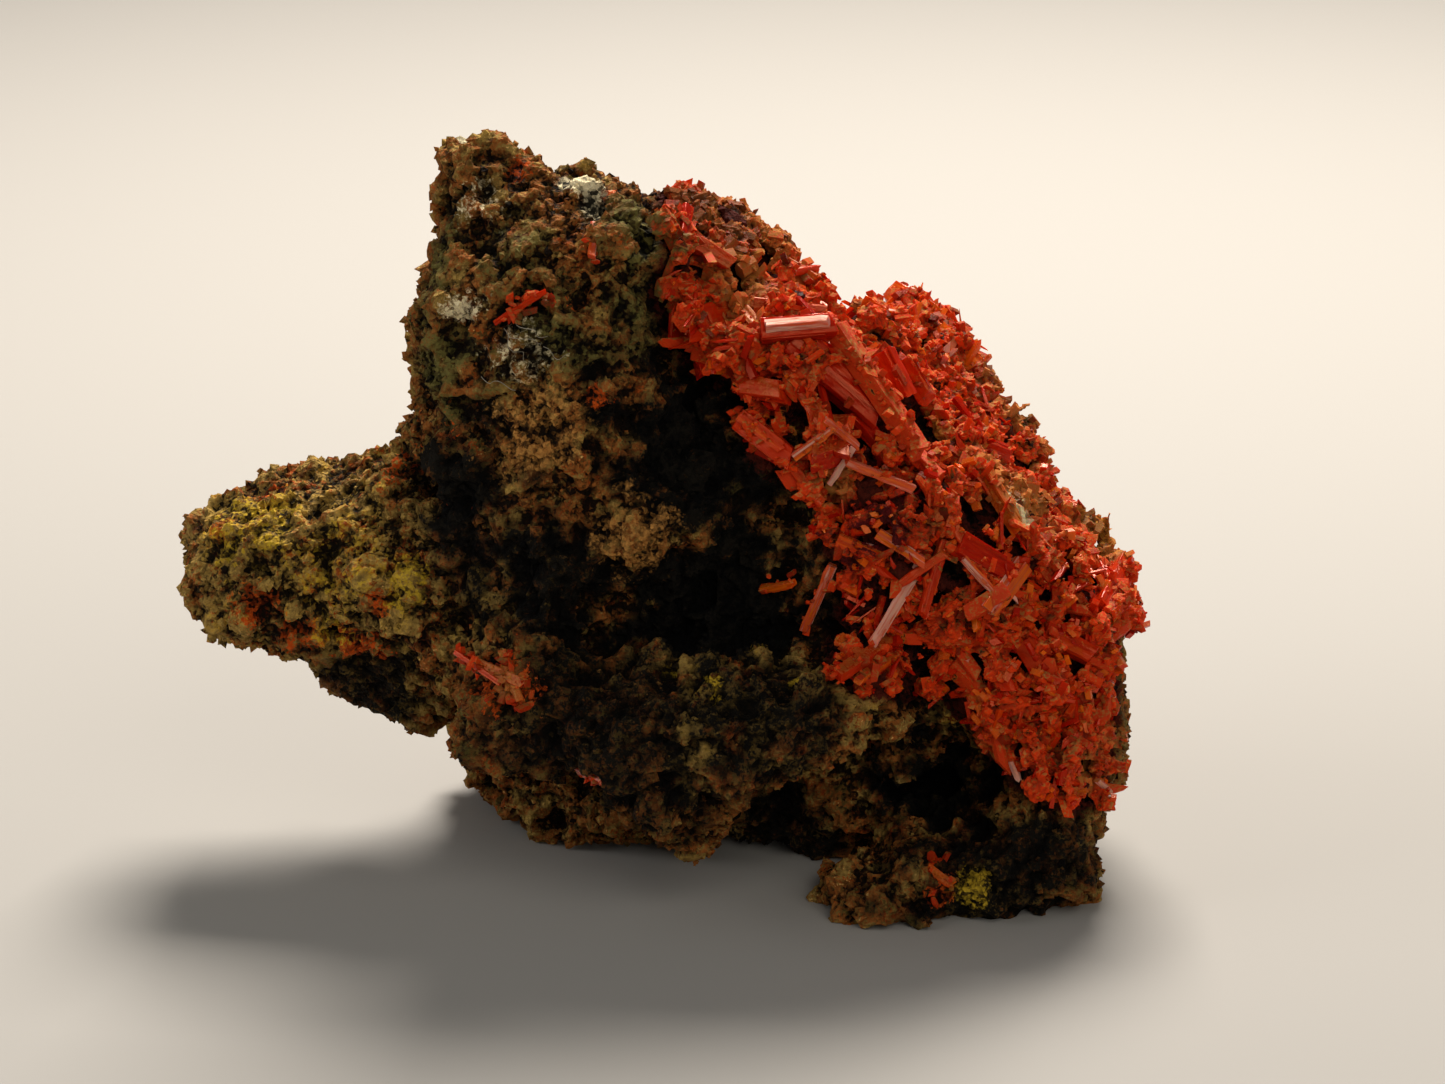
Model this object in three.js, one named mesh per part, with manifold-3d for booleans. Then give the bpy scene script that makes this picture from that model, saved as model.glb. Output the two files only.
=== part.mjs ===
// A crocoite cluster: red lead chromate crystals grown on a lump of brown gossan, which is iron oxide
// rock. Millimetres, +Z up, -Y towards the viewer of its best side. The origin is on the surface that
// the lump stands on, under the middle of its box.
//
// The rock is one body. Each group of crystals that grew together is one more body, and keeps a hair's
// breadth clear of the rock and of its neighbours. Crystals are laid out on a flat drawing of the best
// side, and each end of a crystal is seated on the rock where the line of sight through its place on
// the drawing meets the rock.

import * as THREE from "three";
import { ImprovedNoise } from "three/addons/math/ImprovedNoise.js";
import { MarchingCubes } from "three/addons/objects/MarchingCubes.js";
import { mergeVertices } from "three/addons/utils/BufferGeometryUtils.js";
import Module from "manifold-3d";

const wasm = await Module();
wasm.setup();

// ---- Driving dimensions, in millimetres unless a line says otherwise ----

const SEAT_GAP = 0.3; // what a crystal keeps clear of the rock that it grew on, and of its neighbours
const CRAG = 1.1; // how far the rock's surface wanders in and out
const CRAG_WIDTH = 5.2; // how wide its broad bumps are
const KNOB_WIDTH = 2.1; // how wide its small bumps are
const BLEND = 0.8; // how softly one lump of rock runs into the next
const SQUARENESS = 2.5; // 2 makes a lump an ellipsoid, and more makes it blockier
const FACET = 1.8; // the size of the rock's facets
const CELLS = 30; // how many facets fit across the space that the rock is worked out in
const LEAST_FACET = 0.15; // facets narrower than this share of FACET are rounded away

const CRUST_BUMP = 0.35; // how unevenly the small crystals stand out from the rock, as a share
const TIP_SLANT = 0.5; // how obliquely a crystal's end face cuts it
const SIGHT_DISTANCE = 200; // from the eye to the drawing of the best side
const SIGHT_DROP = 18; // degrees that the line of sight looks down by
const DRAWING_MIDDLE = [2.6, 0, 14.7]; // where the drawing is, and what the eye looks at
const ORIGIN = [-0.05, 1.55, 0]; // the middle of the underside of the cluster's box, as its lumps are placed
const FAR = 60; // further than any part of the cluster
const TOUCH = 0.01; // how near a line of sight comes to the rock before it has met it
const STRIDE = 0.6; // the share of the distance to the rock that a line of sight goes on by
const SLOPE_STEP = 0.6; // how far to each side of a point the rock's slope is measured
const MERGE = 1e-5; // corners nearer than this are one corner
const TINY = 1e-9; // keeps a lump's very middle from dividing by nothing

const COLOUR = { gossan: 0x4a3a26, red: 0xb3240c, orange: 0xc4501a, rose: 0xb8483a };

// ---- The rock's lumps: the middle, the three radii and the turn in degrees of each ----

const LUMPS = [
  { what: "upper body", at: [-4.9, 1.2, 21], size: [5.8, 6.6, 8.2], turn: [0, 0, 0] },
  { what: "knob", at: [-7.5, 1.4, 30.1], size: [2, 2, 2.3], turn: [0, 0, 0] },
  { what: "plateau", at: [-3.4, 1.4, 27.1], size: [4.2, 4.6, 2.6], turn: [0, 6, 0] },
  { what: "ridge", at: [2.4, 3, 24.3], size: [4.2, 3.8, 2.8], turn: [0, 32, 0] },
  { what: "back hump", at: [10.5, 9.2, 19.4], size: [2.2, 2.8, 2.6], turn: [0, 30, 0] },
  { what: "hump shoulder", at: [12.4, 7.2, 16.3], size: [2.8, 4, 3], turn: [0, 30, 0] },
  { what: "slope top", at: [5.6, 1.4, 20.2], size: [4.6, 5.4, 4.2], turn: [0, 40, 0] },
  { what: "slope middle", at: [10.4, 1.2, 14.8], size: [6.2, 7.2, 4.6], turn: [0, 42, 0] },
  { what: "slope bottom", at: [14.6, -0.4, 8.8], size: [4, 5.4, 4.4], turn: [0, 30, 0] },
  { what: "right end", at: [17, 1.8, 9.2], size: [2.8, 5.8, 4.6], turn: [0, 0, 0] },
  { what: "right foot", at: [16.6, -2.4, 3], size: [2.5, 4.4, 4], turn: [0, -4, 0] },
  { what: "foot's toe", at: [14, -4.8, 1], size: [3.6, 2.8, 2.4], turn: [0, 8, 0] },
  { what: "front foot", at: [9, -6, 0], size: [2.4, 2.2, 1.6], turn: [0, 0, 0] },
  { what: "ledge", at: [2.6, -5.6, 8.8], size: [6.6, 4.4, 2.4], turn: [0, -4, 0] },
  { what: "ledge tip", at: [0.7, -6.6, 5.6], size: [2.4, 2.4, 2.4], turn: [0, 20, 0] },
  { what: "front left lump", at: [-6.6, -5.2, 9.2], size: [2.6, 3.4, 3], turn: [0, 10, 0] },
  { what: "yellow lump", at: [-1.4, -4.4, 16.2], size: [2.4, 2.2, 1.3], turn: [0, -8, 0] },
  { what: "left lobe", at: [-15.2, 3.2, 13.1], size: [5.9, 5, 3.5], turn: [0, -10, 0] },
  { what: "under the lobe", at: [-12, 2.4, 9.2], size: [3, 3.4, 2.6], turn: [0, 0, 0] },
  { what: "lobe root", at: [-10.2, 1.8, 13], size: [4, 5, 4.6], turn: [0, 0, 0] },
  { what: "middle", at: [0, 2, 13], size: [10, 6, 7.5], turn: [0, 24, 0] },
  { what: "back", at: [2, 6.5, 11.5], size: [11, 6, 9], turn: [0, 12, 0] },
  { what: "base", at: [3.4, 4.6, 3.5], size: [11.6, 6, 3.7], turn: [0, 0, 0] },
  { what: "back right foot", at: [9, 8, 3.2], size: [4.4, 4, 4.4], turn: [0, 0, 0] },
  { what: "back left foot", at: [-5, 8, 3.4], size: [4, 3.8, 4.6], turn: [0, 0, 0] },
];

const HOLLOWS = [
  { what: "dark hollow", at: [1.6, -7, 13.2], size: [5.4, 3.4, 1.9], turn: [0, 12, 0] },
  { what: "cave", at: [12, -7.4, 5.6], size: [3.2, 4.8, 2.6], turn: [0, 30, 0] },
];

// ---- The crystals, as [across, up] on the drawing ----
//
// A crystal runs from one place to another. Its wide and thick are its section, and lift is how far its
// axis stands out from the rock at each end. A group's outline is where its small crystals cover the
// rock as a crust of the stated height, and back is how far behind the drawing that goes on. A group on
// the side that is turned away has a drawing of its own, as seen from behind.

const GROUPS = [
  {
    name: "upper_crystals",
    colour: COLOUR.red,
    crust: 0.6,
    back: 6.5,
    outline: [
      [-0.1, 10.5], [0.3, 11.3], [1.7, 11.6], [3.4, 11.3], [5.6, 11], [7.3, 10.2], [8.2, 9.1], [9.9, 8.9],
      [11.7, 7.7], [12.5, 6], [12.7, 4], [11.4, 3.1], [11, 2], [9, 1.7], [6.9, 1.7], [5.6, 2.7],
      [4.5, 3.5], [3.7, 4.4], [3.6, 6], [3, 7], [1.7, 7.4], [0.8, 8.4],
    ],
    crystals: [
      { what: "pillar", from: [4.8, 8.6], to: [7.1, 5], wide: 0.75, thick: 0.7, lift: [1, 1.6] },
      { what: "long diagonal", from: [7.8, 8.9], to: [11.2, 3.9], wide: 0.9, thick: 0.9, lift: [2, 2.1] },
      { what: "deep red", from: [6, 8.4], to: [9.2, 5.6], wide: 1.5, thick: 1.2, lift: [1.2, 1.3] },
      { what: "pale topped", from: [4.8, 9.2], to: [7.3, 9.4], wide: 1, thick: 1, lift: [2, 2.3] },
      { what: "top red", from: [4.4, 10.2], to: [6.9, 9.9], wide: 0.9, thick: 0.9, lift: [1, 1.2] },
      { what: "neck", from: [3.4, 10.2], to: [4.7, 8.6], wide: 0.6, thick: 0.7, lift: [1, 1.4] },
      { what: "coated plate", from: [1.9, 8.6], to: [4.3, 8.3], wide: 1.7, thick: 0.8, lift: [1.2, 1.4] },
      { what: "plate's lobe", from: [3.6, 8.3], to: [3.6, 7.1], wide: 0.7, thick: 0.7, lift: [1, 1.2] },
      { what: "hollow ended", from: [2.4, 9.7], to: [0.7, 9.3], wide: 1.7, thick: 1.6, lift: [0.6, 1.6] },
      { what: "top bar", from: [0.3, 11], to: [2.9, 10.9], wide: 0.8, thick: 0.8, lift: [0.9, 0.9] },
      { what: "red wedge", from: [2.5, 8.1], to: [1.5, 7.6], wide: 0.9, thick: 0.8, lift: [0.4, 1.2] },
      { what: "bright block", from: [3.9, 6.7], to: [5.3, 6.5], wide: 0.9, thick: 0.9, lift: [0.9, 1.3] },
      { what: "lower red", from: [3.8, 5], to: [5.6, 3.6], wide: 1, thick: 0.9, lift: [0.9, 1.3] },
      { what: "long lower", from: [5, 4.1], to: [6.9, 1.8], wide: 0.5, thick: 0.5, lift: [1, 1.3] },
      { what: "blunt end", from: [7.3, 4.8], to: [7.3, 3.6], wide: 1.8, thick: 1.2, lift: [0.6, 1.9] },
      { what: "left roof", from: [6.1, 4], to: [7.5, 5], wide: 0.35, thick: 0.4, lift: [1.7, 2.1] },
      { what: "right roof", from: [7.4, 5], to: [8.5, 4.1], wide: 0.35, thick: 0.4, lift: [2, 1.7] },
      { what: "white needle", from: [7.5, 2.9], to: [8.3, 4.1], wide: 0.3, thick: 0.3, lift: [1.3, 1.9] },
      { what: "pink needle", from: [8.2, 3.4], to: [10.9, 2.3], wide: 0.4, thick: 0.4, lift: [1.1, 1.3] },
      { what: "right red", from: [9.8, 7.8], to: [10.7, 5.8], wide: 0.9, thick: 0.9, lift: [1.5, 1.6] },
      { what: "far right red", from: [10.8, 7.5], to: [11.7, 5.4], wide: 0.8, thick: 0.8, lift: [1.2, 1.3] },
      { what: "inner needle", from: [6.8, 6.9], to: [7.3, 5.1], wide: 0.35, thick: 0.35, lift: [0.8, 1.3] },
      { what: "shaded red", from: [8.6, 5.2], to: [10.1, 3.5], wide: 0.7, thick: 0.6, lift: [0.9, 1.1] },
      { what: "right needle", from: [10.6, 4.3], to: [12.1, 2.7], wide: 0.6, thick: 0.6, lift: [0.9, 1.1] },
    ],
  },
  {
    name: "pale_prism_cluster",
    colour: COLOUR.rose,
    crystals: [
      { what: "pale prism", from: [10.9, -1.5], to: [9.1, -4.5], wide: 0.5, thick: 0.45, lift: [0.6, 2] },
      { what: "right prism", from: [12.1, -0.4], to: [11.3, -3.2], wide: 0.45, thick: 0.4, lift: [0.8, 1.5] },
      { what: "crossing", from: [10.5, -1.7], to: [12.3, -0.5], wide: 0.4, thick: 0.35, lift: [0.9, 1.1] },
      { what: "spray", from: [9.8, -4.4], to: [7.6, -5.8], wide: 0.65, thick: 0.6, lift: [1, 2] },
      { what: "spray, low", from: [10, -5], to: [8.5, -6], wide: 0.45, thick: 0.4, lift: [0.8, 1.5] },
    ],
  },
  {
    name: "slope_crystals",
    colour: COLOUR.red,
    crust: 1.1,
    back: 9,
    outline: [
      [6.9, 1.3], [9, 1.3], [11.1, 1.6], [11.8, 2.7], [13.1, 3.8], [12.9, 6], [14.6, 6.6], [16.6, 4.6],
      [17.6, 2.2], [19.4, 0.7], [18.3, -0.4], [18.3, -3.1], [16, -3.2], [12.6, -3.4], [12.2, -6.8],
      [10.4, -6.4], [8.4, -6], [7.2, -5], [8, -3.2], [7.9, -1], [6.6, 0.6],
    ],
    crystals: [
      { what: "purple", from: [9.8, 0.1], to: [11.4, -0.9], wide: 0.5, thick: 0.5, lift: [1.1, 1.3] },
      { what: "orange flake", from: [8.1, -0.1], to: [9.6, -0.8], wide: 0.9, thick: 0.5, lift: [1.1, 1.3] },
      { what: "red face", from: [13.2, -0.3], to: [15, -1.4], wide: 1, thick: 0.8, lift: [1, 1.1] },
      { what: "pink wedge", from: [15.3, -1.3], to: [14.1, -3], wide: 0.9, thick: 0.7, lift: [1.1, 1.8] },
      { what: "fine line", from: [13.4, -1.1], to: [14.5, -2.3], wide: 0.3, thick: 0.3, lift: [1.3, 1.5] },
      { what: "sunken red", from: [13, 4.6], to: [14.9, 3.8], wide: 0.9, thick: 0.8, lift: [0.9, 0.9] },
      { what: "orange band", from: [14.1, 2.8], to: [15.5, 0.5], wide: 0.7, thick: 0.6, lift: [1, 1.1] },
      { what: "short bar", from: [12.1, 1.6], to: [13.1, -0.1], wide: 0.45, thick: 0.4, lift: [1, 1.2] },
    ],
  },
  {
    name: "lower_crystals",
    colour: COLOUR.orange,
    crust: 1.2,
    back: 5,
    outline: [
      [12.9, -3.8], [16, -3.6], [18.4, -3.5], [19.4, -4], [19.3, -8], [19, -10.8], [17.6, -11.2],
      [16, -10.6], [14.2, -9], [12.6, -7.2],
    ],
    crystals: [
      { what: "big red", from: [16, -4.7], to: [17.4, -6.9], wide: 1, thick: 0.8, lift: [0.9, 1.4] },
      { what: "left red", from: [14, -4.4], to: [15.1, -6.5], wide: 0.7, thick: 0.6, lift: [0.9, 1.4] },
      { what: "upper right", from: [17, -4.1], to: [18.7, -5], wide: 0.9, thick: 0.7, lift: [0.9, 1.3] },
      { what: "low left", from: [13.4, -6.4], to: [14.7, -8.3], wide: 0.6, thick: 0.5, lift: [0.8, 1.5] },
      { what: "hanging", from: [17.3, -7.8], to: [18, -10], wide: 0.6, thick: 0.5, lift: [0.8, 1.3] },
      { what: "hanging, left", from: [15.6, -8], to: [16.4, -10.2], wide: 0.5, thick: 0.5, lift: [0.8, 1.4] },
    ],
  },
  {
    name: "right_knob_crystals",
    colour: COLOUR.red,
    crust: 0.8,
    back: 4,
    outline: [[18.7, -0.7], [19.7, 0.4], [21.8, -0.2], [22, -3.6], [18.7, -3.2]],
    crystals: [
      { what: "rising", from: [19.2, -2.8], to: [20.1, -0.9], wide: 1.1, thick: 0.9, lift: [0.7, 0.9] },
      { what: "falling", from: [19.1, -1.2], to: [20, -3], wide: 0.8, thick: 0.7, lift: [0.7, 0.9] },
    ],
  },
  {
    name: "ridge_crystals",
    colour: COLOUR.orange,
    crust: 0.9,
    back: 6,
    outline: [
      [0.4, 15], [0.2, 13.2], [1.2, 12.1], [3.4, 11.8], [5.7, 11.5], [7.4, 10.8], [7.6, 12.8], [6.4, 15],
      [4.4, 16.4], [1.4, 16.4],
    ],
    crystals: [
      { what: "dark streak", from: [1, 14.2], to: [0.8, 12.6], wide: 0.5, thick: 0.5, lift: [0.9, 1.2] },
      { what: "small red", from: [1.9, 12.7], to: [2.9, 12.1], wide: 0.7, thick: 0.6, lift: [0.9, 1.3] },
      { what: "orange lump", from: [5.3, 12], to: [6.6, 11.2], wide: 1.3, thick: 1.1, lift: [0.5, 0.8] },
    ],
  },
  {
    name: "back_hump_crystals",
    colour: COLOUR.orange,
    crust: 1.0,
    back: 14,
    outline: [
      [8.7, 9.7], [8.5, 12], [10.5, 13.5], [13.8, 12.6], [15.6, 9.2], [15.8, 7.2], [14.6, 7], [13, 6.6],
      [12.1, 8.2], [10.2, 9.4],
    ],
    crystals: [
      { what: "bright", from: [9.2, 10], to: [10.6, 9.5], wide: 1.2, thick: 1, lift: [0.8, 1.1] },
      { what: "top", from: [10.4, 10.6], to: [12, 9.6], wide: 1.3, thick: 1.1, lift: [0.6, 0.8] },
      { what: "right", from: [12.1, 8.8], to: [13.4, 7.6], wide: 1.2, thick: 1, lift: [0.6, 0.8] },
    ],
  },
  {
    name: "summit_crystal",
    colour: COLOUR.rose,
    crystals: [{ from: [-3, 13.5], to: [-3.1, 12.4], wide: 0.5, thick: 0.45, lift: [0.1, 0.6] }],
  },
  {
    name: "face_crystal",
    colour: COLOUR.red,
    crystals: [{ from: [-6.9, 9.8], to: [-5.1, 10.9], wide: 0.55, thick: 0.5, lift: [0.4, 0.7] }],
  },
  {
    name: "front_left_crystals",
    colour: COLOUR.red,
    crystals: [
      { what: "needle", from: [-7.4, -5.9], to: [-9, -4.8], wide: 0.45, thick: 0.4, lift: [0.6, 1.1] },
      { what: "stub", from: [-7.6, -5.5], to: [-6, -6.2], wide: 1, thick: 0.8, lift: [0.5, 0.8] },
      { what: "low stub", from: [-6.8, -5.2], to: [-6.2, -6.9], wide: 0.8, thick: 0.7, lift: [0.4, 0.8] },
    ],
  },
  {
    name: "ledge_crystal",
    colour: COLOUR.rose,
    crystals: [{ from: [-3.4, -10], to: [-2.6, -10.4], wide: 0.8, thick: 0.7, lift: [0.3, 0.6] }],
  },
  {
    name: "hollow_crystal",
    colour: COLOUR.orange,
    crystals: [{ from: [4.7, -2], to: [5.7, -1.8], wide: 0.5, thick: 0.5, lift: [0.2, 0.6] }],
  },
  {
    name: "trailing_crystal",
    colour: COLOUR.rose,
    crystals: [{ from: [7.2, -1.4], to: [6.1, -3.9], wide: 0.4, thick: 0.4, lift: [0.5, 0.8] }],
  },
  {
    name: "back_crystals",
    colour: COLOUR.orange,
    behind: true,
    crust: 0.9,
    back: 2,
    outline: [[-10.6, 4.6], [-6.4, 5.8], [-3.4, 3.4], [-3.8, -0.6], [-6.8, -2.4], [-9.8, -0.8]],
    crystals: [
      { what: "upper", from: [-8.9, 3.6], to: [-6.6, 3.2], wide: 0.9, thick: 0.8, lift: [0.8, 1.3] },
      { what: "middle", from: [-6.2, 3.9], to: [-5, 1.6], wide: 0.7, thick: 0.7, lift: [0.8, 1.4] },
      { what: "lower", from: [-8.4, 1.4], to: [-6.4, -0.6], wide: 0.8, thick: 0.7, lift: [0.7, 1.3] },
    ],
  },
  {
    name: "back_low_crystals",
    colour: COLOUR.rose,
    behind: true,
    crystals: [
      { what: "long", from: [3.2, -2.4], to: [1.1, -3.6], wide: 0.7, thick: 0.6, lift: [0.5, 1] },
      { what: "short", from: [2.9, -3.7], to: [1.6, -2.4], wide: 0.6, thick: 0.6, lift: [0.5, 0.9] },
    ],
  },
  {
    name: "toe_crystal",
    colour: COLOUR.orange,
    crystals: [{ from: [11.6, -14.2], to: [12.6, -14.9], wide: 0.9, thick: 0.8, lift: [0, 0.4] }],
  },
];

// ---- The shape of the rock ----

const noise = new ImprovedNoise();

// A lump with the numbers that rockDistance works from.
function prepared({ at, size, turn }) {
  const angles = turn.map((degrees) => THREE.MathUtils.degToRad(degrees));
  const rotation = new THREE.Matrix4().makeRotationFromEuler(new THREE.Euler(...angles));
  return { middle: new THREE.Vector3(...at), size, inward: rotation.transpose() };
}

const lumps = LUMPS.map(prepared);
const hollows = HOLLOWS.map(prepared);
const local = new THREE.Vector3();

// Roughly how far a point is outside one blocky ellipsoid.
function lumpDistance(lump, point) {
  local.copy(point).sub(lump.middle).applyMatrix4(lump.inward);
  const share = local.toArray().map((value, k) => Math.abs(value) / lump.size[k]);
  const sum = share.reduce((total, s) => total + s ** SQUARENESS, 0) + TINY;
  const reach = sum ** (1 / SQUARENESS);
  const steepness = Math.hypot(...share.map((s, k) => (s / reach) ** (SQUARENESS - 1) / lump.size[k]));
  return (reach - 1) / steepness;
}

// Roughly how far a point is outside the rock: the lumps run into each other, hollows are taken out,
// and two sizes of noise make it craggy.
function rockDistance(point) {
  const nearness = lumps.reduce((total, each) => total + Math.exp(-lumpDistance(each, point) / BLEND), 0);
  let distance = -BLEND * Math.log(nearness);
  for (const hollow of hollows) distance = Math.max(distance, -lumpDistance(hollow, point));
  const [x, y, z] = point.toArray();
  const broad = noise.noise(x / CRAG_WIDTH, y / CRAG_WIDTH, z / CRAG_WIDTH);
  const small = noise.noise(x / KNOB_WIDTH + 9, y / KNOB_WIDTH, z / KNOB_WIDTH);
  return distance - CRAG * (broad + 0.5 * small);
}

// The first point at which a ray comes as near to the rock as the lift, or where it passes nearest.
function meetRock(origin, direction, lift) {
  const point = origin.clone();
  const nearest = { distance: FAR, point: point.clone() };
  while (point.distanceTo(origin) < FAR && nearest.distance > TOUCH) {
    const distance = rockDistance(point) - lift;
    if (distance < nearest.distance) {
      nearest.distance = distance;
      nearest.point.copy(point);
    }
    point.addScaledVector(direction, Math.max(TOUCH, distance * STRIDE));
  }
  return nearest.point;
}

// The way that the rock's surface faces at a point.
function facing(point) {
  const slope = ["x", "y", "z"].map((axis) => {
    const ahead = point.clone();
    const behind = point.clone();
    ahead[axis] += SLOPE_STEP;
    behind[axis] -= SLOPE_STEP;
    return rockDistance(ahead) - rockDistance(behind);
  });
  return new THREE.Vector3(...slope).normalize();
}

// ---- Solids ----

// A closed three.js geometry as a manifold-3d solid.
function solid(geometry) {
  const bare = geometry.clone();
  for (const name of Object.keys(bare.attributes)) {
    if (name !== "position") bare.deleteAttribute(name);
  }
  const merged = mergeVertices(bare, MERGE);
  return new wasm.Manifold(
    new wasm.Mesh({
      numProp: 3,
      vertProperties: merged.attributes.position.array,
      triVerts: new Uint32Array(merged.index.array),
    }),
  );
}

// A manifold-3d solid as a three.js geometry.
function geometryOf(made) {
  const mesh = made.getMesh();
  const geometry = new THREE.BufferGeometry();
  geometry.setAttribute("position", new THREE.BufferAttribute(mesh.vertProperties, 3));
  geometry.setIndex(new THREE.BufferAttribute(mesh.triVerts, 1));
  return geometry;
}

function block(low, high) {
  const size = high.map((value, k) => value - low[k]);
  const geometry = new THREE.BoxGeometry(...size);
  geometry.translate(...low.map((value, k) => value + size[k] / 2));
  return solid(geometry);
}

const belowGround = block([-FAR, -FAR, -FAR], [FAR, FAR, 0]);

// The middle of the grid that the rock's distance is worked out on, and that distance at each point.
const gridMiddle = new THREE.Vector3(0, 1, 17);
const gridPoints = Array.from({ length: CELLS ** 3 }, (_, i) => {
  const steps = [i % CELLS, Math.floor(i / CELLS) % CELLS, Math.floor(i / CELLS ** 2)];
  return new THREE.Vector3(...steps).subScalar(CELLS / 2).multiplyScalar(FACET).add(gridMiddle);
});
const gridDistances = gridPoints.map(rockDistance);

// The surface that stands out from the rock by the height that is worked out at each point.
function skin(heightAt) {
  const cubes = new MarchingCubes(CELLS, new THREE.MeshStandardMaterial());
  const half = (CELLS / 2) * FACET;
  const least = LEAST_FACET * FACET;
  cubes.isolation = 0;
  gridPoints.forEach((point, i) => {
    const depth = heightAt(point) - gridDistances[i];
    cubes.field[i] = Math.abs(depth) < least ? Math.sign(depth || 1) * least : depth;
  });
  cubes.update();
  const geometry = new THREE.BufferGeometry();
  const corners = cubes.positionArray.slice(0, cubes.count * 3);
  geometry.setAttribute("position", new THREE.BufferAttribute(corners, 3));
  geometry.scale(half, half, half);
  geometry.translate(...gridMiddle);
  return geometry;
}

const rockSkin = skin(() => 0);

// The rock, or the space that reaches a little way out from it, with its feet cut flat.
function rock(reach) {
  const geometry = mergeVertices(rockSkin, MERGE);
  geometry.computeVertexNormals();
  const { position, normal } = geometry.attributes;
  const point = new THREE.Vector3();
  const outwards = new THREE.Vector3();
  for (let i = 0; i < position.count; i++) {
    point.fromBufferAttribute(position, i);
    outwards.fromBufferAttribute(normal, i);
    point.addScaledVector(outwards, reach);
    position.setXYZ(i, point.x, point.y, point.z);
  }
  return solid(geometry).subtract(belowGround);
}

const grownRock = rock(0).add(rock(SEAT_GAP));

const UP = new THREE.Vector3(0, 0, 1);

// A drawing, turned round the cluster: its middle, its two directions, the line of sight through its
// middle, and the eye.
function drawing(turn) {
  const drop = THREE.MathUtils.degToRad(SIGHT_DROP);
  const middle = new THREE.Vector3(...DRAWING_MIDDLE);
  const across = new THREE.Vector3(1, 0, 0).applyAxisAngle(UP, turn);
  const upwards = new THREE.Vector3(0, Math.sin(drop), Math.cos(drop)).applyAxisAngle(UP, turn);
  const sight = new THREE.Vector3().crossVectors(upwards, across);
  const eye = middle.clone().addScaledVector(sight, -SIGHT_DISTANCE);
  return { middle, across, upwards, sight, eye };
}

const fromFront = drawing(0);
const fromBehind = drawing(Math.PI);

// The point at the stated lift above the rock that is seen at a place on a drawing.
function seat(view, [x, up], lift) {
  const through = view.middle.clone();
  through.addScaledVector(view.across, x - view.middle.dot(view.across));
  through.addScaledVector(view.upwards, up);
  const ray = through.clone().sub(view.eye).normalize();
  return meetRock(through.addScaledVector(ray, -FAR / 2), ray, lift);
}

// A crystal's section, as shares of its width and thickness.
const SECTION = [
  [0.5, -0.16],
  [0.5, 0.16],
  [0, 0.5],
  [-0.5, 0.16],
  [-0.5, -0.16],
  [0, -0.5],
];

// One crystal, grown outwards by the stated distance: a flattened six-sided prism with an oblique end.
function crystal(view, { from, to, wide, thick, lift }, grow) {
  const root = seat(view, from, lift[0]);
  const axis = seat(view, to, lift[1]).sub(root);
  const length = axis.length() + 2 * grow;
  const corners = SECTION.map(([x, y]) => new THREE.Vector2(x * (wide + 2 * grow), y * (thick + 2 * grow)));
  const geometry = new THREE.ExtrudeGeometry(new THREE.Shape(corners), {
    depth: length,
    bevelEnabled: false,
  });
  const place = geometry.attributes.position;
  for (let i = 0; i < place.count; i++) {
    if (place.getZ(i) > length / 2) place.setZ(i, length - TIP_SLANT * (place.getX(i) + wide / 2));
  }
  axis.normalize();
  const side = new THREE.Vector3().crossVectors(facing(root), axis).normalize();
  const over = new THREE.Vector3().crossVectors(axis, side);
  geometry.applyMatrix4(new THREE.Matrix4().makeBasis(side, over, axis));
  root.addScaledVector(axis, -grow);
  geometry.translate(root.x, root.y, root.z);
  return solid(geometry);
}

// Everything that is seen inside an outline on a drawing, down to the group's back.
function column(view, { outline, back }, grow) {
  const points = outline.map(([x, y]) => new THREE.Vector2(x, y));
  if (THREE.ShapeUtils.area(points) < 0) points.reverse();
  const moved = points.map((point, i) => {
    const before = points[(i + points.length - 1) % points.length];
    const after = points[(i + 1) % points.length];
    const along = after.clone().sub(before).normalize();
    return point.clone().add(new THREE.Vector2(along.y, -along.x).multiplyScalar(grow));
  });
  const geometry = new THREE.ExtrudeGeometry(new THREE.Shape(moved), {
    depth: FAR + grow,
    bevelEnabled: false,
  });
  geometry.translate(-view.middle.dot(view.across), 0, -back - grow);
  const towards = view.sight.clone().negate();
  geometry.applyMatrix4(new THREE.Matrix4().makeBasis(view.across, view.upwards, towards));
  geometry.translate(...view.middle);
  return solid(geometry);
}

// The small crystals of a group, as a crust on the rock.
function crust(view, group) {
  const height = (point) => {
    const [x, y, z] = point.toArray().map((value) => value / KNOB_WIDTH);
    return group.crust * (1 + CRUST_BUMP * noise.noise(x, y + 5, z));
  };
  return solid(skin(height)).intersect(column(view, group, 0));
}

// Everything that a group takes up, grown outwards by the stated distance.
function taken(view, group, grow) {
  const bodies = group.crystals.map((each) => crystal(view, each, grow));
  if (group.outline) bodies.push(grow ? column(view, group, grow) : crust(view, group));
  return bodies.reduce((a, b) => a.add(b));
}

// ---- The pieces ----

const largest = (made) =>
  made.decompose().reduce((best, body) => (body.volume() > best.volume() ? body : best));

const cluster = new THREE.Group();

function addPiece(name, made, colour, roughness) {
  const material = new THREE.MeshStandardMaterial({ color: colour, roughness, metalness: 0 });
  const mesh = new THREE.Mesh(geometryOf(largest(made)), material);
  mesh.name = name;
  cluster.add(mesh);
}

addPiece("matrix", rock(0), COLOUR.gossan, 0.95);

// Each group leaves room for the rock and for the groups before it.
let claimed = grownRock.add(belowGround);
for (const group of GROUPS) {
  const view = group.behind ? fromBehind : fromFront;
  addPiece(group.name, taken(view, group, 0).subtract(claimed), group.colour, 0.35);
  claimed = claimed.add(taken(view, group, SEAT_GAP));
}
cluster.position.set(...ORIGIN).negate();

export default cluster;
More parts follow.
